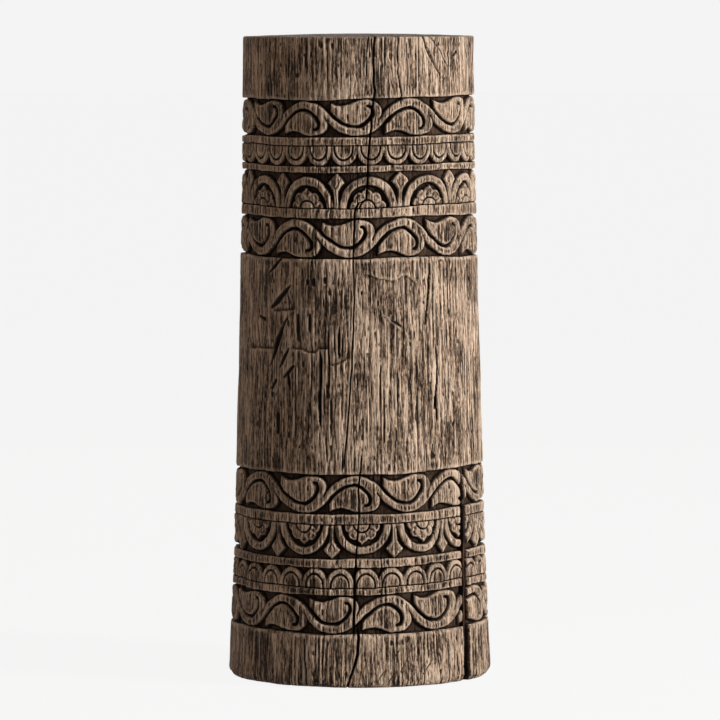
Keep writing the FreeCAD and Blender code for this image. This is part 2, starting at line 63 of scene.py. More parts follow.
# ---------------------------------------------------------------- shader expressions
class Wire:
    """A shader socket that takes part in Python expressions."""

    def __init__(self, kit: "ShaderKit", socket: bpy.types.NodeSocket) -> None:
        self.kit = kit
        self.socket = socket

    def _math(self, operation: str, first: Value, second: Value) -> "Wire":
        """One Math node on two values."""
        return self.kit.node("ShaderNodeMath", {"operation": operation}, {0: first, 1: second})

    def __add__(self, other: Value) -> "Wire":
        """self + other."""
        return self._math("ADD", self, other)

    def __radd__(self, other: Value) -> "Wire":
        """other + self."""
        return self._math("ADD", other, self)

    def __sub__(self, other: Value) -> "Wire":
        """self - other."""
        return self._math("SUBTRACT", self, other)

    def __rsub__(self, other: Value) -> "Wire":
        """other - self."""
        return self._math("SUBTRACT", other, self)

    def __mul__(self, other: Value) -> "Wire":
        """self * other."""
        return self._math("MULTIPLY", self, other)

    def __rmul__(self, other: Value) -> "Wire":
        """other * self."""
        return self._math("MULTIPLY", other, self)

    def __abs__(self) -> "Wire":
        """The size of self."""
        return self._math("ABSOLUTE", self, 0.0)

    def clamp(self, low: float, high: float) -> "Wire":
        """Maps low..high on to 0..1 and holds it there.

        Args:
            low: the value that becomes 0.
            high: the value that becomes 1.

        Returns:
            The mapped value.
        """
        return self.kit.node("ShaderNodeMapRange", {"clamp": True},
                             {"Value": self, "From Min": low, "From Max": high})


class ShaderKit:
    """Adds nodes to one new material."""

    def __init__(self, name: str) -> None:
        """Starts a material with a Principled shader.

        Args:
            name: the finish's name.
        """
        self.material = bpy.data.materials.new(name)
        self.material.use_nodes = True
        self.tree = self.material.node_tree
        self.tree.nodes.clear()
        self.output = self.tree.nodes.new("ShaderNodeOutputMaterial")
        self.shader = self.tree.nodes.new("ShaderNodeBsdfPrincipled")
        self.tree.links.new(self.shader.outputs[0], self.output.inputs["Surface"])

    def node(self, kind: str, settings: dict[str, Any], sockets: dict[Any, Value],
             output: Union[int, str] = 0) -> Wire:
        """Adds one node of any kind.

        Args:
            kind: the node's type.
            settings: its own settings, such as an operation or a ramp's stops.
            sockets: values or wires by the input's name or number.
            output: which output to hand back.

        Returns:
            The chosen output as a wire.
        """
        made = self.tree.nodes.new(kind)
        for key, value in settings.items():
            if key == "stops":
                ramp = made.color_ramp
                while len(ramp.elements) < len(value):
                    ramp.elements.new(0.5)
                for element, (place, colour) in zip(ramp.elements, value):
                    element.position = place
                    element.color = (*colour, 1.0)
            else:
                setattr(made, key, value)
        for key, value in sockets.items():
            self.feed(made.inputs[key], value)
        return Wire(self, made.outputs[output])

    def feed(self, socket: bpy.types.NodeSocket, value: Value) -> None:
        """Links a wire to an input, or sets its plain value."""
        if isinstance(value, Wire):
            self.tree.links.new(value.socket, socket)
        elif isinstance(value, tuple) and socket.type == "RGBA":
            socket.default_value = (*value, 1.0)
        else:
            socket.default_value = value

    def place(self) -> Wire:
        """The point on the object, in metres."""
        return self.node("ShaderNodeTexCoord", {}, {}, "Object")

    def stretch(self, vector: Wire, scale: tuple[float, float, float]) -> Wire:
        """The vector times a scale along each axis."""
        return self.node("ShaderNodeVectorMath", {"operation": "MULTIPLY"},
                         {0: vector, 1: scale})

    def shift(self, vector: Wire, push: Wire, amount: float) -> Wire:
        """The vector moved by a colour noise, centred on its middle grey.

        Args:
            vector: the point.
            push: a colour noise.
            amount: how far the noise's full range pushes.

        Returns:
            The moved point.
        """
        centred = self.node("ShaderNodeVectorMath", {"operation": "SUBTRACT"},
                            {0: push, 1: (0.5, 0.5, 0.5)})
        scaled = self.stretch(centred, (amount, amount, amount))
        return self.node("ShaderNodeVectorMath", {"operation": "ADD"}, {0: vector, 1: scaled})

    def noise(self, vector: Wire, scale: float, detail: float = 3.0, rough: float = 0.55,
              output: str = "Fac") -> Wire:
        """Fractal noise.

        Args:
            vector: where it is read.
            scale: cells to the metre.
            detail: octaves.
            rough: how strong the finer octaves are.
            output: "Fac" or "Color".

        Returns:
            The noise.
        """
        return self.node("ShaderNodeTexNoise", {},
                         {"Vector": vector, "Scale": scale, "Detail": detail,
                          "Roughness": rough}, output)

    def attribute(self, name: str) -> Wire:
        """A number kept on the mesh's points."""
        return self.node("ShaderNodeAttribute", {"attribute_name": name}, {}, "Fac")

    def mix(self, share: Value, first: Value, second: Value) -> Wire:
        """Blends two colours.

        Args:
            share: 0 gives the first colour and 1 the second.
            first: a colour or wire.
            second: a colour or wire.

        Returns:
            The blended colour.
        """
        return self.node("ShaderNodeMix", {"data_type": "RGBA"},
                         {0: share, 6: first, 7: second}, 2)

    def ramp(self, share: Wire, *stops: tuple[float, tuple[float, float, float]]) -> Wire:
        """Colours along a value."""
        return self.node("ShaderNodeValToRGB", {"stops": stops}, {"Fac": share}, "Color")

    def bump(self, height: Wire, distance: float) -> Wire:
        """Turns a height into a normal.

        Args:
            height: the height, 0 to 1.
            distance: what 1 stands for, in metres.

        Returns:
            The normal.
        """
        return self.node("ShaderNodeBump", {},
                         {"Height": height, "Distance": distance, "Strength": 1.0}, "Normal")

    def dress(self, **sockets: Value) -> bpy.types.Material:
        """Sets the Principled shader's inputs.

        Args:
            sockets: values or wires by the input's name, with _ for a space.

        Returns:
            The finished material.
        """
        for key, value in sockets.items():
            self.feed(self.shader.inputs[key.replace("_", " ")], value)
        return self.material


class WorldKit(ShaderKit):
    """Adds nodes to a world."""

    def __init__(self, world: bpy.types.World) -> None:
        """Empties the world's tree and gives it an output."""
        world.use_nodes = True
        self.tree = world.node_tree
        self.tree.nodes.clear()
        self.output = self.tree.nodes.new("ShaderNodeOutputWorld")


# ---------------------------------------------------------------- finishes
@dataclass(frozen=True)
class CarvedWood:
    """Old dark hardwood: rubbed tan on what stands proud, dirty dark brown in the grounds, and
    near black where shade is painted at the grounds' walls and in checks, cuts and hollows.
    """

    # deep is the darkest grain and also the near black of the painted shade.
    deep: tuple[float, float, float] = (0.007, 0.004, 0.0025)
    dark: tuple[float, float, float] = (0.048, 0.029, 0.018)
    # grime and soil colour the dirty grounds and also the lighter painted shade in cuts, checks
    # and hollows.
    grime_and_shade: tuple[float, float, float] = (0.014, 0.008, 0.005)
    soil_and_shade: tuple[float, float, float] = (0.086, 0.053, 0.035)
    brown: tuple[float, float, float] = (0.185, 0.120, 0.080)
    tan: tuple[float, float, float] = (0.400, 0.285, 0.203)
    pale: tuple[float, float, float] = (0.740, 0.570, 0.430)
    grain_depth: float = 0.0022
    gloss: float = 0.09

    def material(self) -> bpy.types.Material:
        """The wood with its grain, dirty grounds, painted shade in its grounds, checks, cuts and
        hollows, rubbed edges and end grain.

        Returns:
            The material.
        """
        kit = ShaderKit("carved_wood")
        point = kit.place()
        wander = kit.noise(kit.stretch(point, (1.0, 1.0, 0.35)), 26.0, 2.0, 0.5, "Color")
        bent = kit.shift(point, wander, 0.0045)
        streak = kit.noise(kit.stretch(bent, (1.0, 1.0, 0.040)), 330.0, 4.0, 0.62)
        line = 1.0 - abs(streak - 0.5).clamp(0.0, 0.045)
        fibre = kit.noise(kit.stretch(bent, (1.0, 1.0, 0.05)), 1100.0, 3.0, 0.6)
        patch = kit.noise(kit.stretch(point, (1.0, 1.0, 0.42)), 30.0, 5.0, 0.64)
        fleck = kit.noise(kit.stretch(bent, (1.0, 1.0, 0.32)), 560.0, 4.0, 0.72)
        crack = kit.noise(kit.stretch(bent, (1.0, 1.0, 0.022)), 130.0, 2.0, 0.5)
        split = 1.0 - abs(crack - 0.5).clamp(0.0, 0.026)
        open_here = kit.noise(kit.stretch(point, (1.0, 1.0, 0.25)), 55.0, 2.0).clamp(0.45, 0.57)

        raised = kit.attribute("raised")
        tone = (streak * 0.70 + fibre * 1.30 + patch * 1.25 + fleck * 1.00 + raised * 0.50
                - line * 0.16 - 1.825)
        # The ground share: dirt in the carved grounds, with painted shade at their walls and in
        # checks, tool cuts and hollows.
        ground = kit.attribute("ground")
        rub = kit.attribute("rub")
        end = kit.attribute("end")
        long_grain = kit.ramp(tone, (0.25, self.deep), (0.37, self.dark), (0.46, self.brown),
                              (0.57, self.tan), (0.78, self.pale))

        wide = kit.shift(point, kit.noise(point, 14.0, 4.0, 0.6, "Color"), 0.034)
        rings = kit.node("ShaderNodeTexWave",
                         {"wave_type": "RINGS", "rings_direction": "Z",
                          "wave_profile": "SAW"},
                         {"Vector": wide, "Scale": 62.0, "Distortion": 3.0, "Detail": 3.0,
                          "Detail Scale": 30.0}, "Fac")
        grit = kit.noise(point, 420.0, 4.0, 0.7)
        blotch = kit.noise(point, 30.0, 4.0, 0.6)
        end_tone = rings * 0.12 + grit * 0.55 + blotch * 0.42 + 0.03
        end_grain = kit.ramp(end_tone, (0.28, self.deep), (0.46, self.dark),
                             (0.62, self.brown), (0.82, self.tan))
        body = kit.mix(end, long_grain, end_grain)

        cracked = kit.mix(split * open_here * (1.0 - end) * 0.85, body, self.deep)
        worn = kit.mix((rub * (fibre * 1.1 + 0.25)).clamp(0.0, 1.25), cracked, self.pale)
        # Painted shade and dirt: up to 0.5 the ground share turns the wood to the grounds' dirt
        # colours, and from 0.6 to 0.95 to near black, the painted shade at walls' feet and in
        # checks and hollows.
        soil_and_shade = kit.mix((fleck * 0.6 + patch * 0.4).clamp(0.38, 0.60), self.grime_and_shade, self.soil_and_shade)
        sunk = kit.mix(ground.clamp(0.03, 0.5), worn, soil_and_shade)
        colour = kit.mix(ground.clamp(0.60, 0.95), sunk, self.deep)

        fine = kit.bump(streak * 0.40 + fibre * 0.45 + fleck * 0.30 - line * 0.25
                        - split * open_here * 0.9, self.grain_depth)
        roughness = (0.50 + fibre * 0.22 + ground * 0.22 - rub * 0.06).clamp(0.0, 1.0)
        return kit.dress(Base_Color=colour, Roughness=roughness, Normal=fine,
                         Specular_IOR_Level=self.gloss)


@dataclass(frozen=True)
class SlipWood:
    """Split light-brown wood of the slip and the wedge in the wide check.

    It is in shade up to one distance from the log's axis and bare from the next, in metres.
    """

    shade: tuple[float, float, float] = (0.006, 0.004, 0.003)
    low: tuple[float, float, float] = (0.016, 0.008, 0.005)
    high: tuple[float, float, float] = (0.150, 0.075, 0.042)
    shaded_to: float = 0.1465
    bare_from: float = 0.1502

    def material(self) -> bpy.types.Material:
        """The split wood."""
        kit = ShaderKit("slip_wood")
        point = kit.place()
        streak = kit.noise(kit.stretch(point, (1.0, 1.0, 0.05)), 420.0, 4.0, 0.6)
        patch = kit.noise(kit.stretch(point, (1.0, 1.0, 0.4)), 60.0, 3.0)
        tone = streak * 0.6 + patch * 0.5
        reach = kit.node("ShaderNodeVectorMath", {"operation": "LENGTH"},
                         {0: kit.stretch(point, (1.0, 1.0, 0.0))}, "Value")
        # Noise patches of the bare face are also painted shade.
        face = kit.ramp(tone, (0.50, self.shade), (0.57, self.low), (0.70, self.high))
        colour = kit.mix(reach.clamp(self.shaded_to, self.bare_from), self.shade, face)
        return kit.dress(Base_Color=colour, Roughness=0.62 + streak * 0.3,
                         Normal=kit.bump(streak, 0.0008), Specular_IOR_Level=0.1)


@dataclass(frozen=True)
class PadRubber:
    """Black moulded rubber of the feet."""

    base: tuple[float, float, float] = (0.012, 0.012, 0.012)
    dust: tuple[float, float, float] = (0.075, 0.070, 0.064)

    def material(self) -> bpy.types.Material:
        """The rubber, dusty in patches and pebbled."""
        kit = ShaderKit("pad_rubber")
        point = kit.place()
        cloud = kit.noise(point, 90.0, 4.0, 0.6)
        pebble = kit.node("ShaderNodeTexVoronoi", {"feature": "SMOOTH_F1"},
                          {"Vector": point, "Scale": 900.0}, "Distance")
        colour = kit.mix(cloud.clamp(0.45, 0.85), self.base, self.dust)
        return kit.dress(Base_Color=colour, Roughness=0.70 + cloud * 0.25,
                         Normal=kit.bump(pebble, 0.0003))


@dataclass(frozen=True)
class FastenerSteel:
    """Zinc-plated steel of the screws and washers."""

    bright: tuple[float, float, float] = (0.56, 0.57, 0.58)
    dull: tuple[float, float, float] = (0.24, 0.235, 0.22)

    def material(self) -> bpy.types.Material:
        """The plated steel, with its brushed grain and dull patches."""
        kit = ShaderKit("fastener_steel")
        point = kit.place()
        cloud = kit.noise(point, 220.0, 4.0, 0.65)
        brush = kit.noise(kit.stretch(point, (1.0, 0.1, 1.0)), 2600.0, 2.0)
        colour = kit.mix(cloud.clamp(0.4, 0.7), self.bright, self.dull)
        return kit.dress(Base_Color=colour, Metallic=1.0, Roughness=0.28 + cloud * 0.30,
                         Normal=kit.bump(brush, 0.00006))


@dataclass(frozen=True)
class PaleGround:
    """The floor: pale to the camera, with the object's soft shadow on it."""

    shown: float = 0.905
    diffuse: float = 0.45
    shadow_share: float = 0.06
    strength: float = 1.055
    white: float = 0.90

    def material(self) -> bpy.types.Material:
        """A diffuse floor that camera, glossy and transmission rays see as flat and pale."""
        kit = ShaderKit("pale_floor")
        speckle = kit.noise(kit.place(), 3.0, 2.0)
        kit.dress(Base_Color=kit.ramp(speckle, (0.0, (self.diffuse,) * 3),
                                      (1.0, (self.diffuse * 1.02,) * 3)), Roughness=0.9)
        pale = kit.node("ShaderNodeEmission", {},
                        {"Color": (self.shown,) * 3, "Strength": self.strength})
        white = kit.node("ShaderNodeBsdfDiffuse", {}, {"Color": (self.white,) * 3})
        flat = kit.node("ShaderNodeMixShader", {}, {0: self.shadow_share, 1: pale, 2: white})
        rays = seen_rays(kit)
        body = Wire(kit, kit.shader.outputs[0])
        both = kit.node("ShaderNodeMixShader", {}, {0: rays, 1: body, 2: flat})
        kit.feed(kit.output.inputs["Surface"], both)
        return kit.material


def seen_rays(kit: ShaderKit) -> Wire:
    """1 for camera, glossy and transmission rays.

    Args:
        kit: where the nodes go.

    Returns:
        The factor.
    """
    rays = [kit.node("ShaderNodeLightPath", {}, {}, f"Is {kind} Ray")
            for kind in ("Camera", "Glossy", "Transmission")]
    return (rays[0] + rays[1] + rays[2]).clamp(0.0, 1.0)


# ---------------------------------------------------------------- the unrolled log
def smooth(share: np.ndarray) -> np.ndarray:
    """Smoothstep of a share that is held to 0..1."""
    held = np.clip(share, 0.0, 1.0)
    return held * held * (3.0 - 2.0 * held)


def log_radius(height: np.ndarray) -> np.ndarray:
    """The smooth flank's radius at a height, both in mm."""
    slope, flare = 0.008932, 2.259e-5
    down = CROWN - height
    return TOP_RADIUS + slope * down + flare * down * down


@dataclass
class GrainNoise:
    """Smooth seeded noise on the unrolled log, which meets itself at the back.

    across and up are the cells' sizes in mm. The lattice starts below the floor and runs past
    the top.
    """

    below: ClassVar[float] = 30.0
    span: ClassVar[float] = 840.0
    seed: int
    across: float
    up: float
    lattice: np.ndarray = field(init=False, repr=False)

    def __post_init__(self) -> None:
        """Draws the lattice."""
        drawn = np.random.default_rng(self.seed)
        round_cells = max(3, round(2 * math.pi * MEAN_RADIUS / self.across))
        self.lattice = drawn.uniform(-1.0, 1.0, (int(self.span / self.up) + 4, round_cells))

    def at(self, azimuth: np.ndarray, height: np.ndarray) -> np.ndarray:
        """Reads the noise.

        Args:
            azimuth: degrees, -180 to 180.
            height: mm.

        Returns:
            Values from -1 to 1.
        """
        rows, cells = self.lattice.shape
        across = (azimuth + 180.0) / 360.0 * cells
        up = np.clip((height + self.below) / self.up, 0.0, rows - 2.001)
        left, low = np.floor(across).astype(int), np.floor(up).astype(int)
        right_share, high_share = smooth(across - left), smooth(up - low)
        left, right = left % cells, (left + 1) % cells
        bottom = (self.lattice[low, left] * (1 - right_share)
                  + self.lattice[low, right] * right_share)
        top = (self.lattice[low + 1, left] * (1 - right_share)
               + self.lattice[low + 1, right] * right_share)
        return bottom * (1 - high_share) + top * high_share


def smooth_stroke(points: Points, steps: int = 6) -> list[tuple[float, float]]:
    """A Catmull-Rom curve through a stroke's points.

    Args:
        points: the stroke's points.
        steps: pieces between two points.

    Returns:
        Points along the curve, without the last.
    """
    given = np.array(points, float)
    if len(given) < 3:
        return [tuple(given[0])]
    ends = np.vstack([2 * given[0] - given[1], given, 2 * given[-1] - given[-2]])
    curve: list[tuple[float, float]] = []
    for index in range(1, len(ends) - 2):
        a, b, c, d = ends[index - 1: index + 3]
        for step in range(steps):
            t = step / steps
            curve.append(tuple(0.5 * (2 * b + (c - a) * t + (2 * a - 5 * b + 4 * c - d) * t ** 2
                                      + (3 * b - a - 3 * c + d) * t ** 3)))
    return curve


def inside_distance(outline: Points, across: np.ndarray, up: np.ndarray) -> np.ndarray:
    """Distance to a closed outline, positive inside.

    Args:
        outline: the outline's corners.
        across: points' first coordinate.
        up: points' second coordinate.

    Returns:
        The signed distance at each point.
    """
    nearest = np.full(across.shape, 1e9)
    inside = np.zeros(across.shape, bool)
    corners = list(outline)
    for (x0, y0), (x1, y1) in zip(corners, corners[1:] + corners[:1]):
        dx, dy = x1 - x0, y1 - y0
        share = ((across - x0) * dx + (up - y0) * dy) / (dx * dx + dy * dy + 1e-12)
        share = np.clip(share, 0.0, 1.0)
        gap = (across - x0 - share * dx) ** 2 + (up - y0 - share * dy) ** 2
        nearest = np.minimum(nearest, gap)
        if y0 != y1:
            crosses = (y0 > up) != (y1 > up)
            inside ^= crosses & (across < (up - y0) * dx / dy + x0)
    return np.where(inside, 1.0, -1.0) * np.sqrt(nearest)


# Each motif is drawn in its own field, in mm: how wide one repeat is and how high the band.
HALF_REPEAT = 62.8
BAND_FIELD = 45.0
ARCH_PITCH, ARCH_FIELD = 73.0, 39.8
SCALLOP_PITCH, SCALLOP_FIELD = 30.6, 23.4
SCROLL_STROKES: tuple[Points, ...] = (
    ((-9.0, 42.8), (0.0, 44.0), (12.0, 42.0), (22.0, 36.5), (29.8, 30.0), (37.0, 22.5),
     (46.3, 15.4), (54.7, 11.8), (62.8, 10.8)),
    ((62.8, 10.8), (62.8, 1.0)),
    ((62.8, 1.0), (49.0, 4.0), (38.0, 10.0), (31.0, 16.5), (26.3, 24.0)),
    ((26.3, 24.0), (29.2, 19.0), (29.6, 13.0), (27.0, 7.5), (22.5, 3.8), (17.0, 2.2),
     (8.0, 1.5), (0.0, 3.0), (-8.0, 5.6), (-16.0, 7.2), (-24.0, 6.2), (-31.0, 3.0)),
    ((-31.0, 3.0), (-30.6, 13.2)),
    ((-30.6, 13.2), (-23.8, 20.5), (-15.1, 27.4), (-7.4, 30.7), (-0.3, 31.7), (5.4, 30.0),
     (12.8, 23.9), (16.2, 18.0), (16.6, 13.6), (14.9, 10.9), (12.2, 10.2)),
    ((12.2, 10.2), (12.0, 8.6), (16.2, 8.8), (19.2, 12.4), (19.8, 18.5), (15.4, 25.4),
     (7.0, 32.4), (0.2, 34.6), (-8.3, 33.5)),
    ((-8.3, 33.5), (-9.0, 42.8)),
)


class ScrollMotif:
    """The running scroll: distance to its raised ribbon, kept as a table of one repeat."""

    step: ClassVar[float] = 0.4
    margin: ClassVar[float] = 3.0

    def __init__(self) -> None:
        """Works the table out from the strokes."""
        outline: list[tuple[float, float]] = []
        for stroke in SCROLL_STROKES:
            outline += smooth_stroke(stroke)
        across = np.arange(0.0, 2 * HALF_REPEAT + self.step, self.step)
        up = np.arange(-self.margin, BAND_FIELD + self.margin + self.step, self.step)
        u, v = np.meshgrid(across, up)
        self.table = np.full(u.shape, -1e9)
        for half in range(-2, 4):
            shown = v if half % 2 == 0 else BAND_FIELD - v
            self.table = np.maximum(self.table,
                                    inside_distance(outline, u - half * HALF_REPEAT, shown))

    def distance(self, across: np.ndarray, up: np.ndarray) -> np.ndarray:
        """Distance to the ribbon's edge, positive on the ribbon.

        Args:
            across: mm round the log from a crest's middle.
            up: mm above the band's lower edge, of BAND_FIELD.

        Returns:
            The distance in mm.
        """
        rows, columns = self.table.shape
        x = np.mod(across, 2 * HALF_REPEAT) / self.step
        y = np.clip((up + self.margin) / self.step, 0, rows - 1.001)
        left, low = np.floor(x).astype(int), np.floor(y).astype(int)
        left = np.minimum(left, columns - 2)
        a, b = x - left, y - low
        table = self.table
        return ((table[low, left] * (1 - a) + table[low, left + 1] * a) * (1 - b)
                + (table[low + 1, left] * (1 - a) + table[low + 1, left + 1] * a) * b)


class Motif(Enum):
    """What is carved in a zone of the log."""

    PLAIN = "plain"
    SCROLL = "scroll"
    SCALLOPS = "scallops"
    ARCHES = "arches"


@dataclass(frozen=True)
class Zone:
    """One level of the log between two edges.

    anchors are (azimuth in degrees, motif index) pairs that the motif's repeats pass through,
    repeats is how many go round, and upside_down turns the motif over. row is the height of a
    row of points. lift is how far, in mm, the carver's lower edge runs above its nominal height
    at each of LIFT_AZIMUTHS but the two outer ones on either side.
    """

    name: str
    top: float
    bottom: float
    motif: Motif
    row: float
    lift: tuple[float, ...]
    anchors: Points = ()
    repeats: int = 0
    upside_down: bool = False

    def index(self, azimuth: np.ndarray) -> np.ndarray:
        """The motif's index at an azimuth, a whole number at each motif's middle."""
        start, first = self.anchors[0]
        turned = np.mod(azimuth - start, 360.0)
        places = [a - start for a, _ in self.anchors] + [360.0]
        numbers = [n for _, n in self.anchors] + [first + self.repeats]
        return np.interp(turned, places, numbers)


LIFT_AZIMUTHS = (-180.0, -110.0, -68.0, -48.0, -30.0, -12.0, 4.0, 20.0, 34.0, 46.0, 64.0, 110.0,
                 180.0)
ZONES: tuple[Zone, ...] = (
    Zone("top", 759.0, 686.6, Motif.PLAIN, 1.35,
         (1.0, 0.6, -0.3, -0.6, 0.5, 2.2, 2.3, 2.6, 3.4)),
    Zone("scroll_1", 686.6, 641.8, Motif.SCROLL, 0.86,
         (0.7, 0.2, 0.2, 0.2, 0.2, 1.2, 1.4, 2.2, 3.0),
         ((-51.4, 1), (-27.7, 2), (-1.1, 3), (26.2, 4), (54.1, 5)), 14),
    Zone("fillet_1", 641.8, 631.4, Motif.PLAIN, 0.9,
         (3.6, 1.8, 1.8, 1.8, 1.8, 2.8, 3.2, 3.9, 4.6)),
    Zone("scallops_1", 631.4, 608.0, Motif.SCALLOPS, 0.86,
         (2.5, 0.3, 0.2, 0.6, 1.4, 1.9, 2.8, 3.1, 3.1),
         ((-20.0, 0), (-7.3, 1), (5.9, 2), (19.0, 3)), 29),
    Zone("fillet_2", 608.0, 599.3, Motif.PLAIN, 0.9,
         (3.9, 1.9, 1.8, 2.2, 3.1, 3.5, 4.3, 4.5, 4.5)),
    Zone("arches_1", 599.3, 559.5, Motif.ARCHES, 0.86,
         (2.3, 0.0, -0.9, -0.2, 0.5, 1.9, 2.8, 3.0, 2.8),
         ((-54.5, 0), (-26.3, 1), (4.1, 2), (37.0, 3), (65.6, 4)), 12),
    Zone("fillet_3", 559.5, 547.3, Motif.PLAIN, 0.9,
         (3.5, 1.5, 0.6, 1.4, 1.9, 3.3, 3.3, 2.9, 1.8)),
    Zone("scroll_2", 547.3, 500.1, Motif.SCROLL, 0.86,
         (2.3, 2.2, 1.2, 1.2, 1.3, 2.5, 2.9, 2.0, -0.2),
         ((-56.7, 1), (-32.3, 2), (-4.6, 3), (21.9, 4), (47.5, 5), (74.7, 6)), 14),
    Zone("shaft", 500.1, 247.8, Motif.PLAIN, 1.5,
         (3.5, 3.5, 2.4, 2.7, 3.5, 3.6, 5.2, 6.1, 6.9)),
    Zone("scroll_3", 247.8, 201.8, Motif.SCROLL, 0.86,
         (3.0, 2.9, 2.0, 2.3, 3.0, 3.1, 4.2, 6.0, 6.5),
         ((-53.5, 2), (-26.4, 3), (-2.4, 4), (23.0, 5), (47.5, 6), (72.1, 7)), 14),
    Zone("fillet_4", 201.8, 190.2, Motif.PLAIN, 0.9,
         (4.8, 3.9, 2.5, 2.8, 3.9, 4.6, 5.4, 7.0, 7.4)),
    Zone("arches_2", 190.2, 150.2, Motif.ARCHES, 0.86,
         (3.6, 2.4, 1.4, 1.3, 1.7, 3.4, 4.8, 5.4, 5.6),
         ((-53.6, 0), (-26.2, 1), (0.9, 2), (30.6, 3), (52.0, 4)), 12, True),
    Zone("fillet_5", 150.2, 138.8, Motif.PLAIN, 0.9,
         (5.4, 4.4, 3.4, 3.3, 3.5, 4.9, 7.0, 8.0, 8.2)),
    Zone("scallops_2", 138.8, 116.6, Motif.SCALLOPS, 0.86,
         (4.6, 2.4, 1.2, 1.0, 1.4, 3.2, 4.8, 6.0, 6.2),
         ((-9.0, 0), (2.8, 1), (14.2, 2)), 31, True),
    Zone("fillet_6", 116.6, 105.4, Motif.PLAIN, 0.9,
         (7.4, 5.6, 5.0, 5.0, 5.2, 6.4, 7.5, 8.9, 9.2)),
    Zone("scroll_4", 105.4, 61.1, Motif.SCROLL, 0.86,
         (5.7, 3.9, 2.9, 2.9, 3.0, 4.1, 5.5, 6.4, 7.9),
         ((-58.4, 1), (-36.5, 2), (-11.1, 3), (12.1, 4), (36.8, 5), (63.1, 6)), 14),
    Zone("foot", 61.1, 2.0, Motif.PLAIN, 1.3,
         (0.0,) * 9),
)

# Pieces of the log: the zones that each takes in, and how many drums it is cut into.
DRUMS: tuple[tuple[str, tuple[str, ...], int], ...] = (
    ("log_top", ("top",), 1),
    ("log_scroll_1", ("scroll_1", "fillet_1"), 1),
    ("log_scallops_1", ("scallops_1", "fillet_2"), 1),
    ("log_arches_1", ("arches_1", "fillet_3"), 1),
    ("log_scroll_2", ("scroll_2",), 1),
    ("log_shaft", ("shaft",), 2),
    ("log_scroll_3", ("scroll_3", "fillet_4"), 1),
    ("log_arches_2", ("arches_2", "fillet_5"), 1),
    ("log_scallops_2", ("scallops_2", "fillet_6"), 1),
    ("log_scroll_4", ("scroll_4",), 1),
    ("log_foot", ("foot",), 1),
)


@dataclass(frozen=True)
class Check:
    """A drying check: a line of (azimuth in degrees, height in mm), its width and depth."""

    line: Points
    width: float
    depth: float


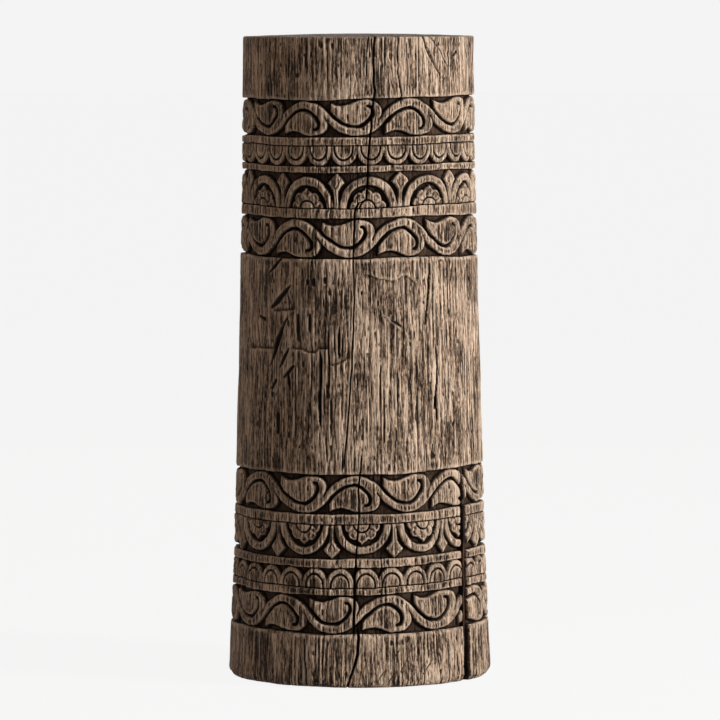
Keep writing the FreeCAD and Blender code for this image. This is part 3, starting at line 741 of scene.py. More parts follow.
MAIN_CHECKS: tuple[Check, ...] = (
    Check(((8.3, 762), (7.2, 735), (7.7, 700), (8.2, 697), (6.8, 672), (5.9, 644), (4.6, 620),
           (4.5, 601), (4.3, 586), (3.6, 570), (-0.5, 566), (-2.0, 557), (-2.7, 504)), 2.6, 11.0),
    Check(((-2.7, 512), (-2.3, 452), (-2.9, 410), (-3.5, 376), (-4.4, 340), (-5.1, 312),
           (-6.3, 285), (-7.4, 255)), 1.7, 8.0),
    Check(((1.3, 277), (0.3, 252), (-0.5, 233), (-0.3, 206), (-1.0, 175), (-2.3, 131)), 2.0, 9.0),
    Check(((-1.6, 152), (-2.3, 131), (-2.5, 100), (-2.8, 61)), 3.2, 9.0),
    Check(((-1.0, 72), (-0.6, 61), (-1.1, 42), (-2.2, 30), (-3.2, 22)), 3.4, 9.0),
    Check(((-2.0, 34), (-3.2, 22), (-5.6, 2)), 2.4, 8.0),
    Check(((5.0, 762), (4.4, 742)), 1.8, 5.0),
    Check(((4.3, 733), (3.4, 708)), 1.6, 5.0),
    Check(((19.9, 762), (19.7, 716), (21.5, 692), (21.0, 676)), 1.7, 6.0),
    Check(((-52.5, 762), (-52.8, 700), (-53.0, 652)), 1.9, 7.0),
    Check(((36.0, 501), (36.2, 485), (35.2, 464), (34.0, 444), (32.9, 421)), 3.0, 6.0),
    Check(((38.4, 403), (39.7, 384), (39.3, 371), (38.6, 335), (39.0, 306)), 2.9, 6.0),
    Check(((28.7, 501), (28.5, 472)), 1.3, 3.0),
    Check(((44.8, 499), (44.4, 454)), 1.3, 3.0),
    Check(((21.4, 434), (21.6, 400)), 1.5, 3.5),
    Check(((-25.0, 62), (-24.4, 35), (-23.6, 2)), 1.7, 6.0),
    Check(((-32.4, 37), (-32.1, 2)), 1.5, 5.0),
    Check(((-14.4, 424), (-14.2, 347)), 2.2, 5.0),
    Check(((-11.6, 418), (-11.6, 392)), 1.6, 3.5),
    Check(((-9.5, 424), (-9.5, 383)), 2.8, 6.0),
    Check(((-7.7, 416), (-7.7, 385)), 2.0, 4.5),
    Check(((-18.5, 395), (-18.2, 366), (-18.7, 337), (-18.4, 306)), 3.6, 7.0),
    Check(((-67.2, 392), (-66.3, 316), (-66.6, 294)), 2.6, 7.0),
    Check(((-31.2, 348), (-30.9, 286)), 1.6, 4.0),
    Check(((-7.6, 283), (-8.1, 253)), 1.8, 5.0),
    Check(((-24.4, 323), (-24.3, 296)), 2.0, 4.5),
    Check(((-15.5, 301), (-15.2, 264)), 1.5, 4.0),
    Check(((10.1, 381), (9.6, 319)), 1.8, 5.0),
    Check(((11.6, 323), (11.5, 285)), 1.8, 4.5),
    Check(((5.9, 361), (5.8, 333)), 1.6, 4.0),
    Check(((18.5, 372), (18.2, 321)), 1.7, 4.5),
    Check(((17.3, 309), (17.0, 271)), 1.6, 4.5),
    Check(((43.9, 315), (43.4, 302)), 2.2, 4.5),
    Check(((31.6, 300), (31.3, 258)), 1.3, 3.5),
    Check(((22.0, 285), (22.0, 270)), 1.5, 3.5),
    Check(((6.3, 5), (9.4, 17), (12.1, 27)), 1.1, 2.4),
    Check(((13.0, 30), (16.4, 42), (18.0, 48)), 1.0, 2.0),
    Check(((11.2, 4), (14.5, 16), (17.2, 24)), 1.0, 2.2),
    Check(((16.0, 12), (20.4, 30), (22.2, 41)), 1.1, 2.4),
    Check(((21.3, 6), (25.8, 24)), 0.9, 2.0),
    Check(((24.2, 25), (27.9, 44)), 0.9, 2.0),
    Check(((27.0, 11), (32.2, 28), (34.5, 35)), 1.2, 2.8),
    Check(((26.8, 62), (26.4, 20)), 1.6, 4.5),
    Check(((57.6, 312), (57.0, 282), (56.6, 258)), 1.9, 6.0),
    Check(((-45.0, 762), (-45.6, 715)), 1.7, 5.0),
    Check(((33.5, 760), (36.0, 743), (41.0, 724), (44.5, 713)), 2.3, 5.0),
    Check(((37.0, 761), (45.0, 741), (50.5, 720)), 2.0, 4.5),
    Check(((35.0, 752), (39.0, 735), (46.8, 706)), 1.5, 4.0),
    Check(((30.9, 761), (31.3, 728), (30.7, 706)), 1.5, 4.0),
    Check(((24.4, 758), (24.8, 700)), 1.4, 3.5),
    Check(((13.0, 760), (12.6, 725)), 1.2, 3.0),
    Check(((67.0, 762), (68.0, 730), (68.5, 690)), 2.4, 6.0),
    Check(((171.0, 762), (169.5, 690), (170.2, 640), (168.6, 560), (166.9, 500)), 2.4, 10.0),
    Check(((166.4, 512), (164.0, 430), (160.5, 330), (161.5, 262)), 2.0, 9.0),
    Check(((-121.0, 762), (-120.2, 716), (-121.4, 640), (-119.0, 575)), 2.1, 8.0),
    Check(((-118.0, 470), (-117.3, 400), (-119.2, 318), (-118.0, 235)), 1.8, 7.0),
    Check(((-116.5, 150), (-117.6, 96), (-116.0, 40), (-117.0, 2)), 2.2, 8.0),
    Check(((112.0, 640), (111.0, 560), (112.6, 470), (110.4, 360)), 1.9, 7.0),
    Check(((141.0, 130), (140.2, 60), (141.8, 2)), 2.2, 8.0),
    Check(((100.0, 762), (101.2, 720), (100.0, 690)), 1.7, 6.0),
)


@dataclass(frozen=True)
class ToolCut:
    """A cut of the adze or the chisel on the shaft, or a ridge left between two.

    line runs along its middle in (azimuth, height); reach is its half width in mm at each of its
    points. A step cut deepens slowly from above down to its line and stops there, and its reach
    is how far up it starts.
    """

    line: Points
    reach: tuple[float, ...]
    depth: float


GOUGES: tuple[ToolCut, ...] = (
    ToolCut(((-40.5, 500.5), (-44.1, 492.3), (-48.2, 483.8)), (1.4, 2.4, 0.6), 3.0),
    ToolCut(((-34.6, 470.3), (-36.8, 464.0), (-42.1, 451.3), (-46.5, 443.1)),
            (0.6, 2.4, 3.8, 1.6), 3.6),
    ToolCut(((-35.7, 434.0), (-38.8, 421.4), (-41.8, 406.6), (-44.1, 389.6), (-47.2, 373.6)),
            (0.8, 1.8, 4.0, 2.8, 0.6), 4.4),
    ToolCut(((-35.5, 394.9), (-38.1, 384.7), (-40.6, 373.2)), (1.6, 2.6, 0.8), 3.2),
    ToolCut(((-55.2, 432.1), (-51.3, 429.0)), (1.0, 2.6), 2.6),
    ToolCut(((-25.1, 475.5), (-25.1, 472.5)), (2.4, 2.2), 1.6),
    ToolCut(((-22.1, 476.5), (-22.1, 471.5)), (2.6, 2.6), 1.8),
    ToolCut(((-16.3, 478.3), (-16.3, 474.5)), (2.4, 2.0), 1.4),
    ToolCut(((-30.1, 435.6), (-30.0, 420.0), (-29.9, 405.3)), (1.8, 2.6, 1.4), 2.0),
    ToolCut(((-23.9, 436.0), (-23.9, 426.0), (-23.9, 416.2)), (1.6, 2.4, 1.2), 2.0),
    ToolCut(((-35.5, 367.5), (-34.9, 357.0), (-34.2, 347.8)), (1.8, 2.8, 1.0), 2.8),
    ToolCut(((-32.4, 376.2), (-35.0, 369.0), (-37.9, 362.2)), (1.4, 2.6, 1.2), 2.6),
    ToolCut(((-42.7, 358.5), (-45.3, 348.9)), (2.2, 2.0), 2.4),
    ToolCut(((-41.1, 318.0), (-40.9, 298.0)), (3.2, 2.6), 2.0),
    ToolCut(((15.3, 430.0), (18.0, 426.3), (20.5, 422.4)), (0.9, 2.0, 0.9), 1.8),
    ToolCut(((38.0, 338.0), (37.4, 326.0)), (2.2, 1.4), 2.2),
    ToolCut(((57.0, 741.0), (54.0, 735.5)), (2.0, 1.0), 2.2),
)
STEP_CUTS: tuple[ToolCut, ...] = (
    ToolCut(((-45.6, 438.5), (-38.6, 439.7), (-31.4, 442.0)), (9.0, 24.0, 28.0), 3.0),
    ToolCut(((-64.5, 393.0), (-53.0, 394.3), (-44.6, 395.0)), (20.0, 24.0, 16.0), 2.6),
    ToolCut(((-35.0, 395.6), (-28.9, 395.7), (-24.7, 391.8), (-21.1, 392.0), (-19.2, 396.5),
             (-14.5, 396.9)), (24.0, 26.0, 30.0, 28.0, 24.0, 22.0), 2.6),
    ToolCut(((-13.8, 376.8), (-8.8, 379.7), (-4.0, 387.5)), (40.0, 36.0, 30.0), 2.0),
    ToolCut(((96.0, 430.0), (106.0, 426.0), (115.0, 431.0)), (22.0, 30.0, 20.0), 2.4),
    ToolCut(((-150.0, 350.0), (-140.0, 346.0), (-129.0, 351.0)), (22.0, 30.0, 20.0), 2.4),
    ToolCut(((150.0, 330.0), (158.0, 327.0), (168.0, 331.0)), (18.0, 26.0, 18.0), 2.2),
    ToolCut(((-128.0, 452.0), (-119.0, 449.0), (-110.0, 453.0)), (18.0, 24.0, 16.0), 2.2),
)
RIDGES: tuple[ToolCut, ...] = (
    ToolCut(((8.5, 469.7), (9.8, 449.7), (10.7, 436.4), (15.2, 428.7), (21.5, 416.9),
             (25.3, 402.1)), (2.6, 3.4, 3.6, 3.8, 3.6, 1.8), 0.9),
    ToolCut(((18.3, 477.1), (14.5, 461.8)), (3.0, 1.8), 0.8),
)
# The upper edge of the shallow scoop that an adze left in the middle of the shaft.
SCOOP_EDGE: Points = ((1.7, 485.9), (5.7, 482.0), (9.4, 478.6), (11.7, 478.5), (15.0, 476.2),
                      (18.3, 477.1), (20.4, 480.7), (23.2, 481.9), (26.2, 476.7),
                      (27.7, 473.3), (29.8, 471.4))

# Checks in the upper end: azimuth, where they start as a share of the radius, and their width.
END_CHECKS: tuple[tuple[float, float, float], ...] = (
    (8.3, 0.35, 2.6), (-52.5, 0.45, 2.0), (19.9, 0.62, 1.6), (5.0, 0.8, 1.5), (171.0, 0.30, 2.4),
    (-121.0, 0.42, 2.0), (100.0, 0.5, 1.7), (62.0, 0.6, 1.2), (-88.0, 0.66, 1.2),
    (-20.0, 0.7, 1.2), (140.0, 0.64, 1.2), (-152.0, 0.6, 1.3), (40.0, 0.72, 1.0),
    (-70.0, 0.76, 1.0), (120.0, 0.78, 1.0),
)


@dataclass
class LogSurface:
    """The log's carved surface as rows of points round it, in mm.

    set_in is how far the carving's tops lie inside the flank, and relief is how deep its grounds
    are. The ground share holds the grounds' dirt and painted shade in hollows, checks, tool cuts
    and along the grounds' walls; it, rub and raised are shares from 0 to 1 that the wood's finish
    reads.
    """

    columns: int = 1036
    wide_azimuth: float = WIDE_AZIMUTH
    set_in: float = 0.5
    relief: float = 5.6
    hairlines: int = 230
    motif: ScrollMotif = field(default_factory=ScrollMotif)
    azimuth: np.ndarray = field(init=False, repr=False)
    grid_azimuth: np.ndarray = field(init=False, repr=False)
    nominal: np.ndarray = field(init=False, repr=False)
    height: np.ndarray = field(init=False, repr=False)
    radius: np.ndarray = field(init=False, repr=False)
    zone_of_row: np.ndarray = field(init=False, repr=False)
    ground: np.ndarray = field(init=False, repr=False)
    rub: np.ndarray = field(init=False, repr=False)
    raised: np.ndarray = field(init=False, repr=False)

    def __post_init__(self) -> None:
        """Works out the whole surface."""
        self.azimuth = self._columns()
        self.nominal, self.zone_of_row = self._rows()
        self.height = self.nominal[:, None] + self._edge_wander()
        self.grid_azimuth = np.broadcast_to(self.azimuth, self.height.shape)
        self.ground = np.zeros(self.height.shape)
        offset = self._relief()
        hewn = self._hewing()
        offset += hewn
        offset -= self._tool_cuts()
        offset = self._cut_checks(offset)
        self.raised = np.clip(0.5 + (hewn - self._blur(hewn, 2)) / 0.9, 0.0, 1.0)
        self.rub = np.clip((offset - self._blur(offset, 2) - 0.16) / 0.65, 0.0, 1.0)
        patchy = GrainNoise(52, 9.0, 12.0).at(self.grid_azimuth, self.height)
        self.rub *= 0.40 + 0.80 * smooth(patchy * 0.9 + 0.5)
        # Painted shade: points that lie below their neighbours raise the ground share.
        hollow_shade = np.clip((self._blur(offset, 4) - offset - 0.5) / 1.6, 0.0, 1.0)
        self.ground = np.maximum(self.ground, hollow_shade * 0.8)
        self.radius = log_radius(self.height) + offset
        self._cut_wide_check()
        self._wear_ends()

    def _columns(self) -> np.ndarray:
        """Azimuths of the columns, closer together at the front check and the wide check."""
        fine = np.linspace(-180.0, 180.0, 36001)
        weight = np.ones(fine.shape)
        for middle, half_width, extra in ((0.5, 9.5, 0.9), (self.wide_azimuth, 3.6, 1.6)):
            weight += extra * np.exp(-((fine - middle) / half_width) ** 6)
        total = np.concatenate([[0.0], np.cumsum((weight[1:] + weight[:-1]) / 2)])
        wanted = np.arange(self.columns) / self.columns * total[-1]
        return np.interp(wanted, total, fine)

    def _rows(self) -> tuple[np.ndarray, np.ndarray]:
        """Rows' nominal heights from the top down, and the number of each row's zone."""
        at_edge, inside = 0.12, 0.75
        heights: list[float] = []
        numbers: list[int] = []
        for number, zone in enumerate(ZONES):
            count = round((zone.top - zone.bottom - 2 * inside) / zone.row) + 1
            inner = np.linspace(zone.top - inside, zone.bottom + inside, count)
            levels = [zone.top - at_edge, *inner, zone.bottom + at_edge]
            heights += levels
            numbers += [number] * len(levels)
        return np.array(heights), np.array(numbers)

    def _edge_wander(self) -> np.ndarray:
        """How far each zone's edge wanders up or down, carried to the rows between edges."""
        at_back = 1.5
        edges = [ZONES[0].top] + [zone.bottom for zone in ZONES]
        slow, quick = GrainNoise(11, 46.0, 31.0), GrainNoise(12, 11.0, 23.0)
        wander = []
        for number, edge in enumerate(edges):
            if number in (0, len(edges) - 1):
                wander.append(np.zeros(self.azimuth.shape))
                continue
            level = np.full(self.azimuth.shape, edge)
            moved = slow.at(self.azimuth, level) + quick.at(self.azimuth, level) * 0.45
            lift = ZONES[number - 1].lift
            lifts = (at_back, lift[0] * 0.5, *lift, lift[-1] * 0.5, at_back)
            wander.append(moved + np.interp(self.azimuth, LIFT_AZIMUTHS, lifts))
        stacked = np.array(wander)
        place = np.interp(-self.nominal, -np.array(edges), np.arange(len(edges)))
        low = np.minimum(place.astype(int), len(edges) - 2)
        share = (place - low)[:, None]
        return stacked[low] * (1 - share) + stacked[low + 1] * share

    def _relief(self) -> np.ndarray:
        """Height of the carving and of the plain zones above the flank."""
        offset = np.zeros(self.height.shape)
        chip = GrainNoise(21, 5.0, 9.0)
        for number, zone in enumerate(ZONES):
            rows = self.zone_of_row == number
            nominal = np.broadcast_to(self.nominal[rows][:, None], self.height[rows].shape)
            azimuth = self.grid_azimuth[rows]
            up = nominal - zone.bottom
            if zone.motif is Motif.PLAIN:
                gap = np.minimum(zone.top - nominal, up)
                if zone.name == "top":
                    gap = up
                elif zone.name == "foot":
                    gap = zone.top - nominal
                broken = smooth((chip.at(azimuth, nominal) - 0.25) / 0.5)
                offset[rows] = (-0.6 * np.exp(-gap / 0.9) - 2.1 * broken * np.exp(-gap / 2.0)
                                - (0.35 if zone.name.startswith("fillet") else 0.0))
            else:
                offset[rows], self.ground[rows] = self._carve(zone, azimuth, up)
        return offset

    def _carve(self, zone: Zone, azimuth: np.ndarray, up: np.ndarray
               ) -> tuple[np.ndarray, np.ndarray]:
        """Carves one band.

        Args:
            zone: the band.
            azimuth: degrees at each point.
            up: mm above the band's lower edge.

        Returns:
            The height above the flank, and the ground share: how far each point lies in the
            ground, with painted shade added at the walls' feet, along the band's edges and in deep
            detail cuts.
        """
        high = zone.top - zone.bottom
        sway_x, sway_y = GrainNoise(31, 21.0, 17.0), GrainNoise(32, 19.0, 15.0)
        level = up + zone.bottom
        dx = 1.3 * sway_x.at(azimuth, level)
        dy = 1.0 * sway_y.at(azimuth, level)
        if zone.upside_down:
            up = high - up
        index = zone.index(azimuth)
        detail = np.zeros(up.shape)
        if zone.motif is Motif.SCROLL:
            scale = BAND_FIELD / high
            edge = self.motif.distance(index * HALF_REPEAT + dx, (up + dy * 0.6) * scale)
        elif zone.motif is Motif.ARCHES:
            edge, detail = self._arches(index, up * ARCH_FIELD / high, dx, dy)
        else:
            edge, detail = self._scallops(index, up * SCALLOP_FIELD / high, dx * 0.4, dy * 0.4)
        rough = 0.28 * GrainNoise(33, 2.6, 7.0).at(azimuth, level)
        edge = edge + rough - (0.72 if zone.motif is Motif.SCROLL else 0.15)
        top = smooth((edge + 0.75) / 1.25)
        sunk = np.minimum(self.relief, 2.7 + 1.5 * np.maximum(-edge, 0.0))
        chatter = 0.45 * GrainNoise(34, 4.2, 5.0).at(azimuth, level)
        worn = 0.75 * np.exp(-np.maximum(edge, 0.0) / 1.1)
        crown = 0.35 * smooth(edge / 4.0)
        foot = np.exp(-((edge + 1.35) / 1.4) ** 2)
        offset = (-self.set_in + top * (crown - worn + detail)
                  - (1.0 - top) * (sunk + chatter + 1.1 * foot))
        border = np.exp(-(np.minimum(up, high - up) / 1.35) ** 2)
        offset -= 2.2 * border * top
        # Painted shade: the ground share rises at the walls' feet and along the band's edges, and
        # deep detail cuts are painted near black.
        ground = smooth((0.15 - edge) / 0.9) * (0.58 + 0.42 * np.maximum(foot, border))
        ground = np.maximum(ground, smooth((-detail - 1.5) / 1.0) * 0.95)
        ground = np.maximum(ground, smooth((-detail - 0.6) / 0.7) * 0.30)
        ground = np.maximum(ground, smooth(border * 1.6 - 0.35) * 0.95)
        return offset, ground

    @staticmethod
    def _arches(index: np.ndarray, up: np.ndarray, dx: np.ndarray, dy: np.ndarray
                ) -> tuple[np.ndarray, np.ndarray]:
        """Arches, each over a half rosette, with a spear bud between two.

        Args:
            index: the arch's index, whole at its middle.
            up: mm above the arches' feet, of ARCH_FIELD.
            dx: sideways wander in mm.
            dy: upward wander in mm.

        Returns:
            Distance to the raised edge, and the detail cut in what is raised.
        """
        whole = np.floor(index + 0.5)
        x = (index - whole) * ARCH_PITCH + dx * 0.7
        y = up + dy * 0.7
        ring = np.sqrt(x * x + (y * 33.0 / 34.6) ** 2)
        ribbon = 3.9 - np.abs(ring - 29.2)
        reach = np.hypot(x, y)
        lobes = [7.2 - np.hypot(x - 13.9 * math.cos(turn), y - 13.9 * math.sin(turn))
                 for turn in np.radians((10.0, 50.0, 90.0, 130.0, 170.0))]
        lobes[2] = np.maximum(lobes[2], np.minimum((23.6 - y) * 0.62 - np.abs(x) * 0.8, y - 12))
        rosette = np.maximum.reduce([*lobes, 11.5 - reach])
        outline = np.minimum.reduce([np.abs(lobe) for lobe in lobes])
        hold = ARCH_PITCH / 2 - np.abs(x)
        spear = np.interp(y, (0.0, 6.0, 13.0, 19.0, 24.0, 28.5, 33.0, 37.5, 39.8),
                          (3.8, 2.4, 2.2, 2.8, 6.0, 10.0, 6.4, 1.4, 0.6))
        bud = (spear - hold) * 0.86
        edge = np.maximum(np.maximum(ribbon, rosette), bud)
        petals = (rosette > 0) & (reach > 9.6)
        dish = np.where(petals, -1.5 * smooth((outline - 1.1) / 1.4), 0.0)
        moat = -3.4 * smooth((1.3 - np.abs(reach - 9.6)) / 0.9)
        boss = np.where(reach < 8.6, 0.5 * np.sqrt(np.clip(1 - (reach / 8.6) ** 2, 0, 1)), 0.0)
        rib = np.where((bud > 0) & (y > 5) & (y < 31),
                       -2.0 * smooth((0.85 - np.abs(hold - np.clip((y - 21) * 0.55, 0, 3.5)))
                                     / 0.8), 0.0)
        return edge, dish + moat + boss + rib

    @staticmethod
    def _scallops(index: np.ndarray, up: np.ndarray, dx: np.ndarray, dy: np.ndarray
                  ) -> tuple[np.ndarray, np.ndarray]:
        """A row of petals that hang from the band's upper edge.

        Args:
            index: the petal's index, whole at its middle.
            up: mm above the petals' tips, of SCALLOP_FIELD.
            dx: sideways wander in mm.
            dy: upward wander in mm.

        Returns:
            Distance to the raised edge, and the detail cut in what is raised.
        """
        whole = np.floor(index + 0.5)
        half, shoulder, tip = 16.0, 3.5, 19.2
        x = (index - whole) * SCALLOP_PITCH + dx
        down = SCALLOP_FIELD - up + dy
        out = np.sqrt((x / half) ** 2 + (np.maximum(down - shoulder, 0.0) / tip) ** 2)
        edge = np.where(down > shoulder, (1.0 - out) * half, half - np.abs(x))
        line = -3.2 * smooth((1.35 - np.abs(edge - 5.3)) / 1.0)
        dish = -1.1 * smooth((edge - 6.8) / 4.5)
        return edge, line + dish

    def _hewing(self) -> np.ndarray:
        """Lumps, facets and raised fibres of the hewn and weathered surface."""
        azimuth, height = self.grid_azimuth, self.height
        lumps = 0.75 * GrainNoise(41, 52.0, 95.0).at(azimuth, height)
        facets = 0.42 * GrainNoise(42, 17.0, 44.0).at(azimuth, height)
        ridges = 0.46 * (1.0 - 2.0 * np.abs(GrainNoise(43, 4.2, 70.0).at(azimuth, height)))
        fibres = 0.38 * GrainNoise(44, 2.0, 34.0).at(azimuth, height)
        nicks = smooth((GrainNoise(45, 2.3, 12.0).at(azimuth, height) - 0.60) / 0.3) * -0.9
        return lumps + facets + ridges + fibres + nicks

    def _along(self, cut: ToolCut) -> tuple[np.ndarray, np.ndarray]:
        """How near each point is to a gouge or ridge, and its own half width there.

        Args:
            cut: the gouge or ridge.

        Returns:
            The distance in mm, and the half width in mm.
        """
        x = self.grid_azimuth * MM_PER_DEGREE
        y = self.height
        nearest = np.full(x.shape, 1e9)
        width = np.full(x.shape, 1.0)
        for ((a0, z0), (a1, z1)), w0, w1 in zip(zip(cut.line, cut.line[1:]), cut.reach,
                                                cut.reach[1:]):
            dx, dy = (a1 - a0) * MM_PER_DEGREE, z1 - z0
            along, up = x - a0 * MM_PER_DEGREE, y - z0
            share = np.clip((along * dx + up * dy) / (dx * dx + dy * dy), 0.0, 1.0)
            gap = np.hypot(along - share * dx, up - share * dy)
            closer = gap < nearest
            nearest = np.where(closer, gap, nearest)
            width = np.where(closer, w0 + (w1 - w0) * share, width)
        return nearest, width

    def _edge_line(self, line: Points) -> tuple[np.ndarray, np.ndarray]:
        """Places each point against a line that runs round the log.

        Args:
            line: (azimuth, height) pairs.

        Returns:
            How far the point lies above the line, in mm, and how many degrees it lies inside
            the line's nearer end.
        """
        places = [azimuth for azimuth, _ in line]
        edge = np.interp(self.grid_azimuth, places, [height for _, height in line])
        inside = np.minimum(self.grid_azimuth - places[0], places[-1] - self.grid_azimuth)
        return self.height - edge, inside

    def _shade(self, share: np.ndarray) -> None:
        """Paints shade: raises the ground share, which darkens the wood, where a share is more
        than it has.
        """
        self.ground = np.maximum(self.ground, share)

    def _tool_cuts(self) -> np.ndarray:
        """Depth of the gouges, the step cuts and the adze's scoop, less the ridges, with painted
        shade in the gouges, along the step cuts' edges, over their facets and in the scoop.
        """
        depth = np.zeros(self.height.shape)
        for cut in GOUGES:
            gap, width = self._along(cut)
            width = width * 1.25
            part = smooth((width - gap) / np.maximum(width * 0.75, 0.5))
            depth = np.maximum(depth, cut.depth * part)
            # Painted shade in the gouge.
            self._shade(smooth(part * 1.5) * 0.88)
        for cut in STEP_CUTS:
            above, side = self._edge_line(cut.line)
            length = np.interp(self.grid_azimuth, [azimuth for azimuth, _ in cut.line], cut.reach)
            part = (smooth(above + 0.5) * smooth(1.0 - above / length)
                    * smooth(side / 1.6 + 0.2))
            depth = np.maximum(depth, cut.depth * part)
            # Painted shade in the deepest part of the cut, just above the step's edge, and lighter
            # painted shade over the sunk facet.
            shade = smooth((above + 0.2) / 0.6) * smooth(1 - above / 4.5) * smooth(side / 1.2)
            self._shade(np.maximum(0.62 * shade, 0.10 * part))
        scoop_depth, scoop_length = 2.6, 68.0
        above, side = self._edge_line(SCOOP_EDGE)
        part = (smooth((0.6 - above) / 1.6) * smooth(1 + above / scoop_length)
                * smooth(side / 3.0))
        # Painted shade over the scoop.
        self._shade(0.13 * smooth(part * 2.0))
        depth = np.maximum(depth, scoop_depth * part)
        for cut in RIDGES:
            gap, width = self._along(cut)
            depth -= cut.depth * smooth((width - gap) / width)
        return depth

    def _cut_checks(self, offset: np.ndarray) -> np.ndarray:
        """Cuts the drying checks, the placed ones and a crowd of hairlines, and paints shade in
        them, darker in the deeper ones.

        Args:
            offset: the height above the flank so far.

        Returns:
            The height with the checks in it.
        """
        open_end, fade = 99.0, 14.0
        drawn = np.random.default_rng(77)
        checks = list(MAIN_CHECKS)
        for _ in range(self.hairlines):
            azimuth, top = drawn.uniform(-180, 180), drawn.uniform(60, CROWN)
            length = drawn.uniform(22, 95)
            lean = drawn.normal(0.0, 0.6)
            line = tuple((azimuth + lean * share + drawn.normal(0.0, 0.18), top - length * share)
                         for share in (0.0, 0.35, 0.7, 1.0))
            checks.append(Check(line, drawn.uniform(0.8, 1.5), drawn.uniform(1.2, 3.4)))
        jitter = GrainNoise(51, 30.0, 9.0)
        for check in checks:
            falling = sorted((z, a) for a, z in check.line)
            low, high = falling[0][0], falling[-1][0]
            rows = np.flatnonzero((self.nominal < high + 1) & (self.nominal > low - 1))
            if not len(rows):
                continue
            height = self.height[rows]
            middle = np.interp(height, [z for z, _ in falling], [a for _, a in falling])
            middle = middle + 0.22 * jitter.at(np.full_like(height, check.line[0][0]), height)
            gap = np.abs(self.azimuth[None, :] - middle) * MM_PER_DEGREE
            ends = np.minimum(np.abs(height - low) + open_end * (low < UNDERSIDE + 1),
                              np.abs(high - height) + open_end * (high > RIM - 1))
            taper = smooth(0.25 + ends / fade)
            part = np.clip(1.0 - gap / (check.width * 0.52 * taper + 0.15), 0.0, 1.0) ** 0.8
            offset[rows] -= check.depth * part * taper
            # Painted shade in the check, darker the deeper the check.
            dark = smooth((check.width * 0.50 * taper + 0.1 - gap) / 0.5)
            self.ground[rows] = np.maximum(self.ground[rows], dark * min(1.0, check.depth / 3))
        return offset

    @staticmethod
    def _blur(values: np.ndarray, reach: int) -> np.ndarray:
        """A box blur of the rows and the columns, run twice.

        Args:
            values: the grid.
            reach: how many neighbours each way.

        Returns:
            The blurred grid.
        """
        for _ in range(2):
            values = sum(np.roll(values, step, 1) for step in range(-reach, reach + 1))
            values = values / (2 * reach + 1)
            padded = np.pad(values, ((reach, reach), (0, 0)), mode="edge")
            values = sum(padded[step: step + len(values)] for step in range(2 * reach + 1))
            values = values / (2 * reach + 1)
        return values

    def _cut_wide_check(self) -> None:
        """Opens the wide check, a steep slot that tapers to a tip above the lower carving, paints
        shade in it that darkens with depth, and rubs its lip pale.
        """
        tip, run_out, root, deep = 264.0, 58.0, 121.0, 34.0
        half_root, flare, narrowest, lip_width = 2.5, 4.4, 0.12, 0.7
        height = self.height
        level = np.full_like(height, 50.0)
        side = (0.26 * GrainNoise(61, 400.0, 13.0).at(level, height)
                + 0.14 * GrainNoise(62, 400.0, 4.0).at(level, height))
        gap = np.abs(self.azimuth[None, :] - self.wide_azimuth - side)
        full = smooth((tip - height) / run_out)
        floor = root + deep - deep * (0.25 + 0.75 * full)
        levels = np.linspace(root, root + deep + 1.0, 36)
        angles = np.degrees((half_root + flare * (levels - root) / deep) / levels)
        wall = np.interp(gap / np.maximum(full, narrowest), angles, levels)
        mouth = angles[-1] * np.maximum(full, narrowest)
        slot = np.maximum(wall, floor)
        open_here = (gap < mouth) & (height < tip)
        self.radius = np.where(open_here, np.minimum(self.radius, slot), self.radius)
        lip = smooth(1.0 - (gap - mouth) / lip_width) * (gap >= mouth) * (height < tip - 2)
        self.radius -= lip_width * lip
        # Painted shade in the slot, darker the deeper it goes.
        depth = (log_radius(height) - self.radius) / 5.0
        self.ground = np.where(open_here, np.maximum(self.ground, np.clip(depth, 0.25, 0.98)),
                               self.ground)
        self.rub = np.where(open_here, 0.0, np.maximum(self.rub, lip * 0.9))

    def _wear_ends(self) -> None:
        """Rounds the worn foot and lowers the top's rim a little."""
        worn = GrainNoise(71, 24.0, 200.0).at(self.azimuth, np.full(self.azimuth.shape, 5.0))
        worn = 1.0 + 0.38 * worn[None, :]
        below_rim = RIM - self.height
        for depth, away in ((6.0 * worn, (self.height - UNDERSIDE) / (10.0 * worn)),
                            (1.6, below_rim / 2.4)):
            away = np.clip(away, 0.0, 1.0)
            self.radius -= depth * (1.0 - np.sqrt(np.clip(1.0 - (1.0 - away) ** 2, 0.0, 1.0)))
        self.rub = np.maximum(self.rub, 0.7 * smooth(1.0 - below_rim / 2.6))

    def top_end(self) -> tuple[np.ndarray, np.ndarray, np.ndarray]:
        """Rings of the crowned upper end, from the middle out.

        Returns:
            Height, radius and ground share of each point; the share is painted shade in the end
            checks.
        """
        shares = np.concatenate([np.linspace(0.075, 0.94, 27), [0.965, 0.982, 0.993]])
        rim = self.radius[0][None, :]
        radius = rim * shares[:, None]
        azimuth = np.broadcast_to(self.azimuth, radius.shape)
        crown = CROWN - (CROWN - RIM) * shares[:, None] ** 2
        lump = GrainNoise(81, 60.0, 60.0)
        height = crown - 0.5 * np.abs(lump.at(azimuth, radius * 4.0)) * (shares[:, None] < 0.98)
        ground = np.zeros(radius.shape)
        wiggle = GrainNoise(82, 100.0, 30.0)
        for place, inner, width in END_CHECKS:
            middle = place + 1.4 * wiggle.at(np.full_like(radius, place), radius * 3.0)
            turn = np.mod(self.azimuth[None, :] - middle + 180.0, 360.0) - 180.0
            gap = np.abs(np.radians(turn)) * radius
            taper = smooth((shares[:, None] - inner) / 0.25)
            part = np.clip(1.0 - gap / (width * 0.6 * taper + 0.05), 0.0, 1.0) * (taper > 0)
            height -= 6.0 * part * taper
            # Painted shade in the end check.
            ground = np.maximum(ground, smooth(part * 3.0) * taper)
        return height, radius, ground

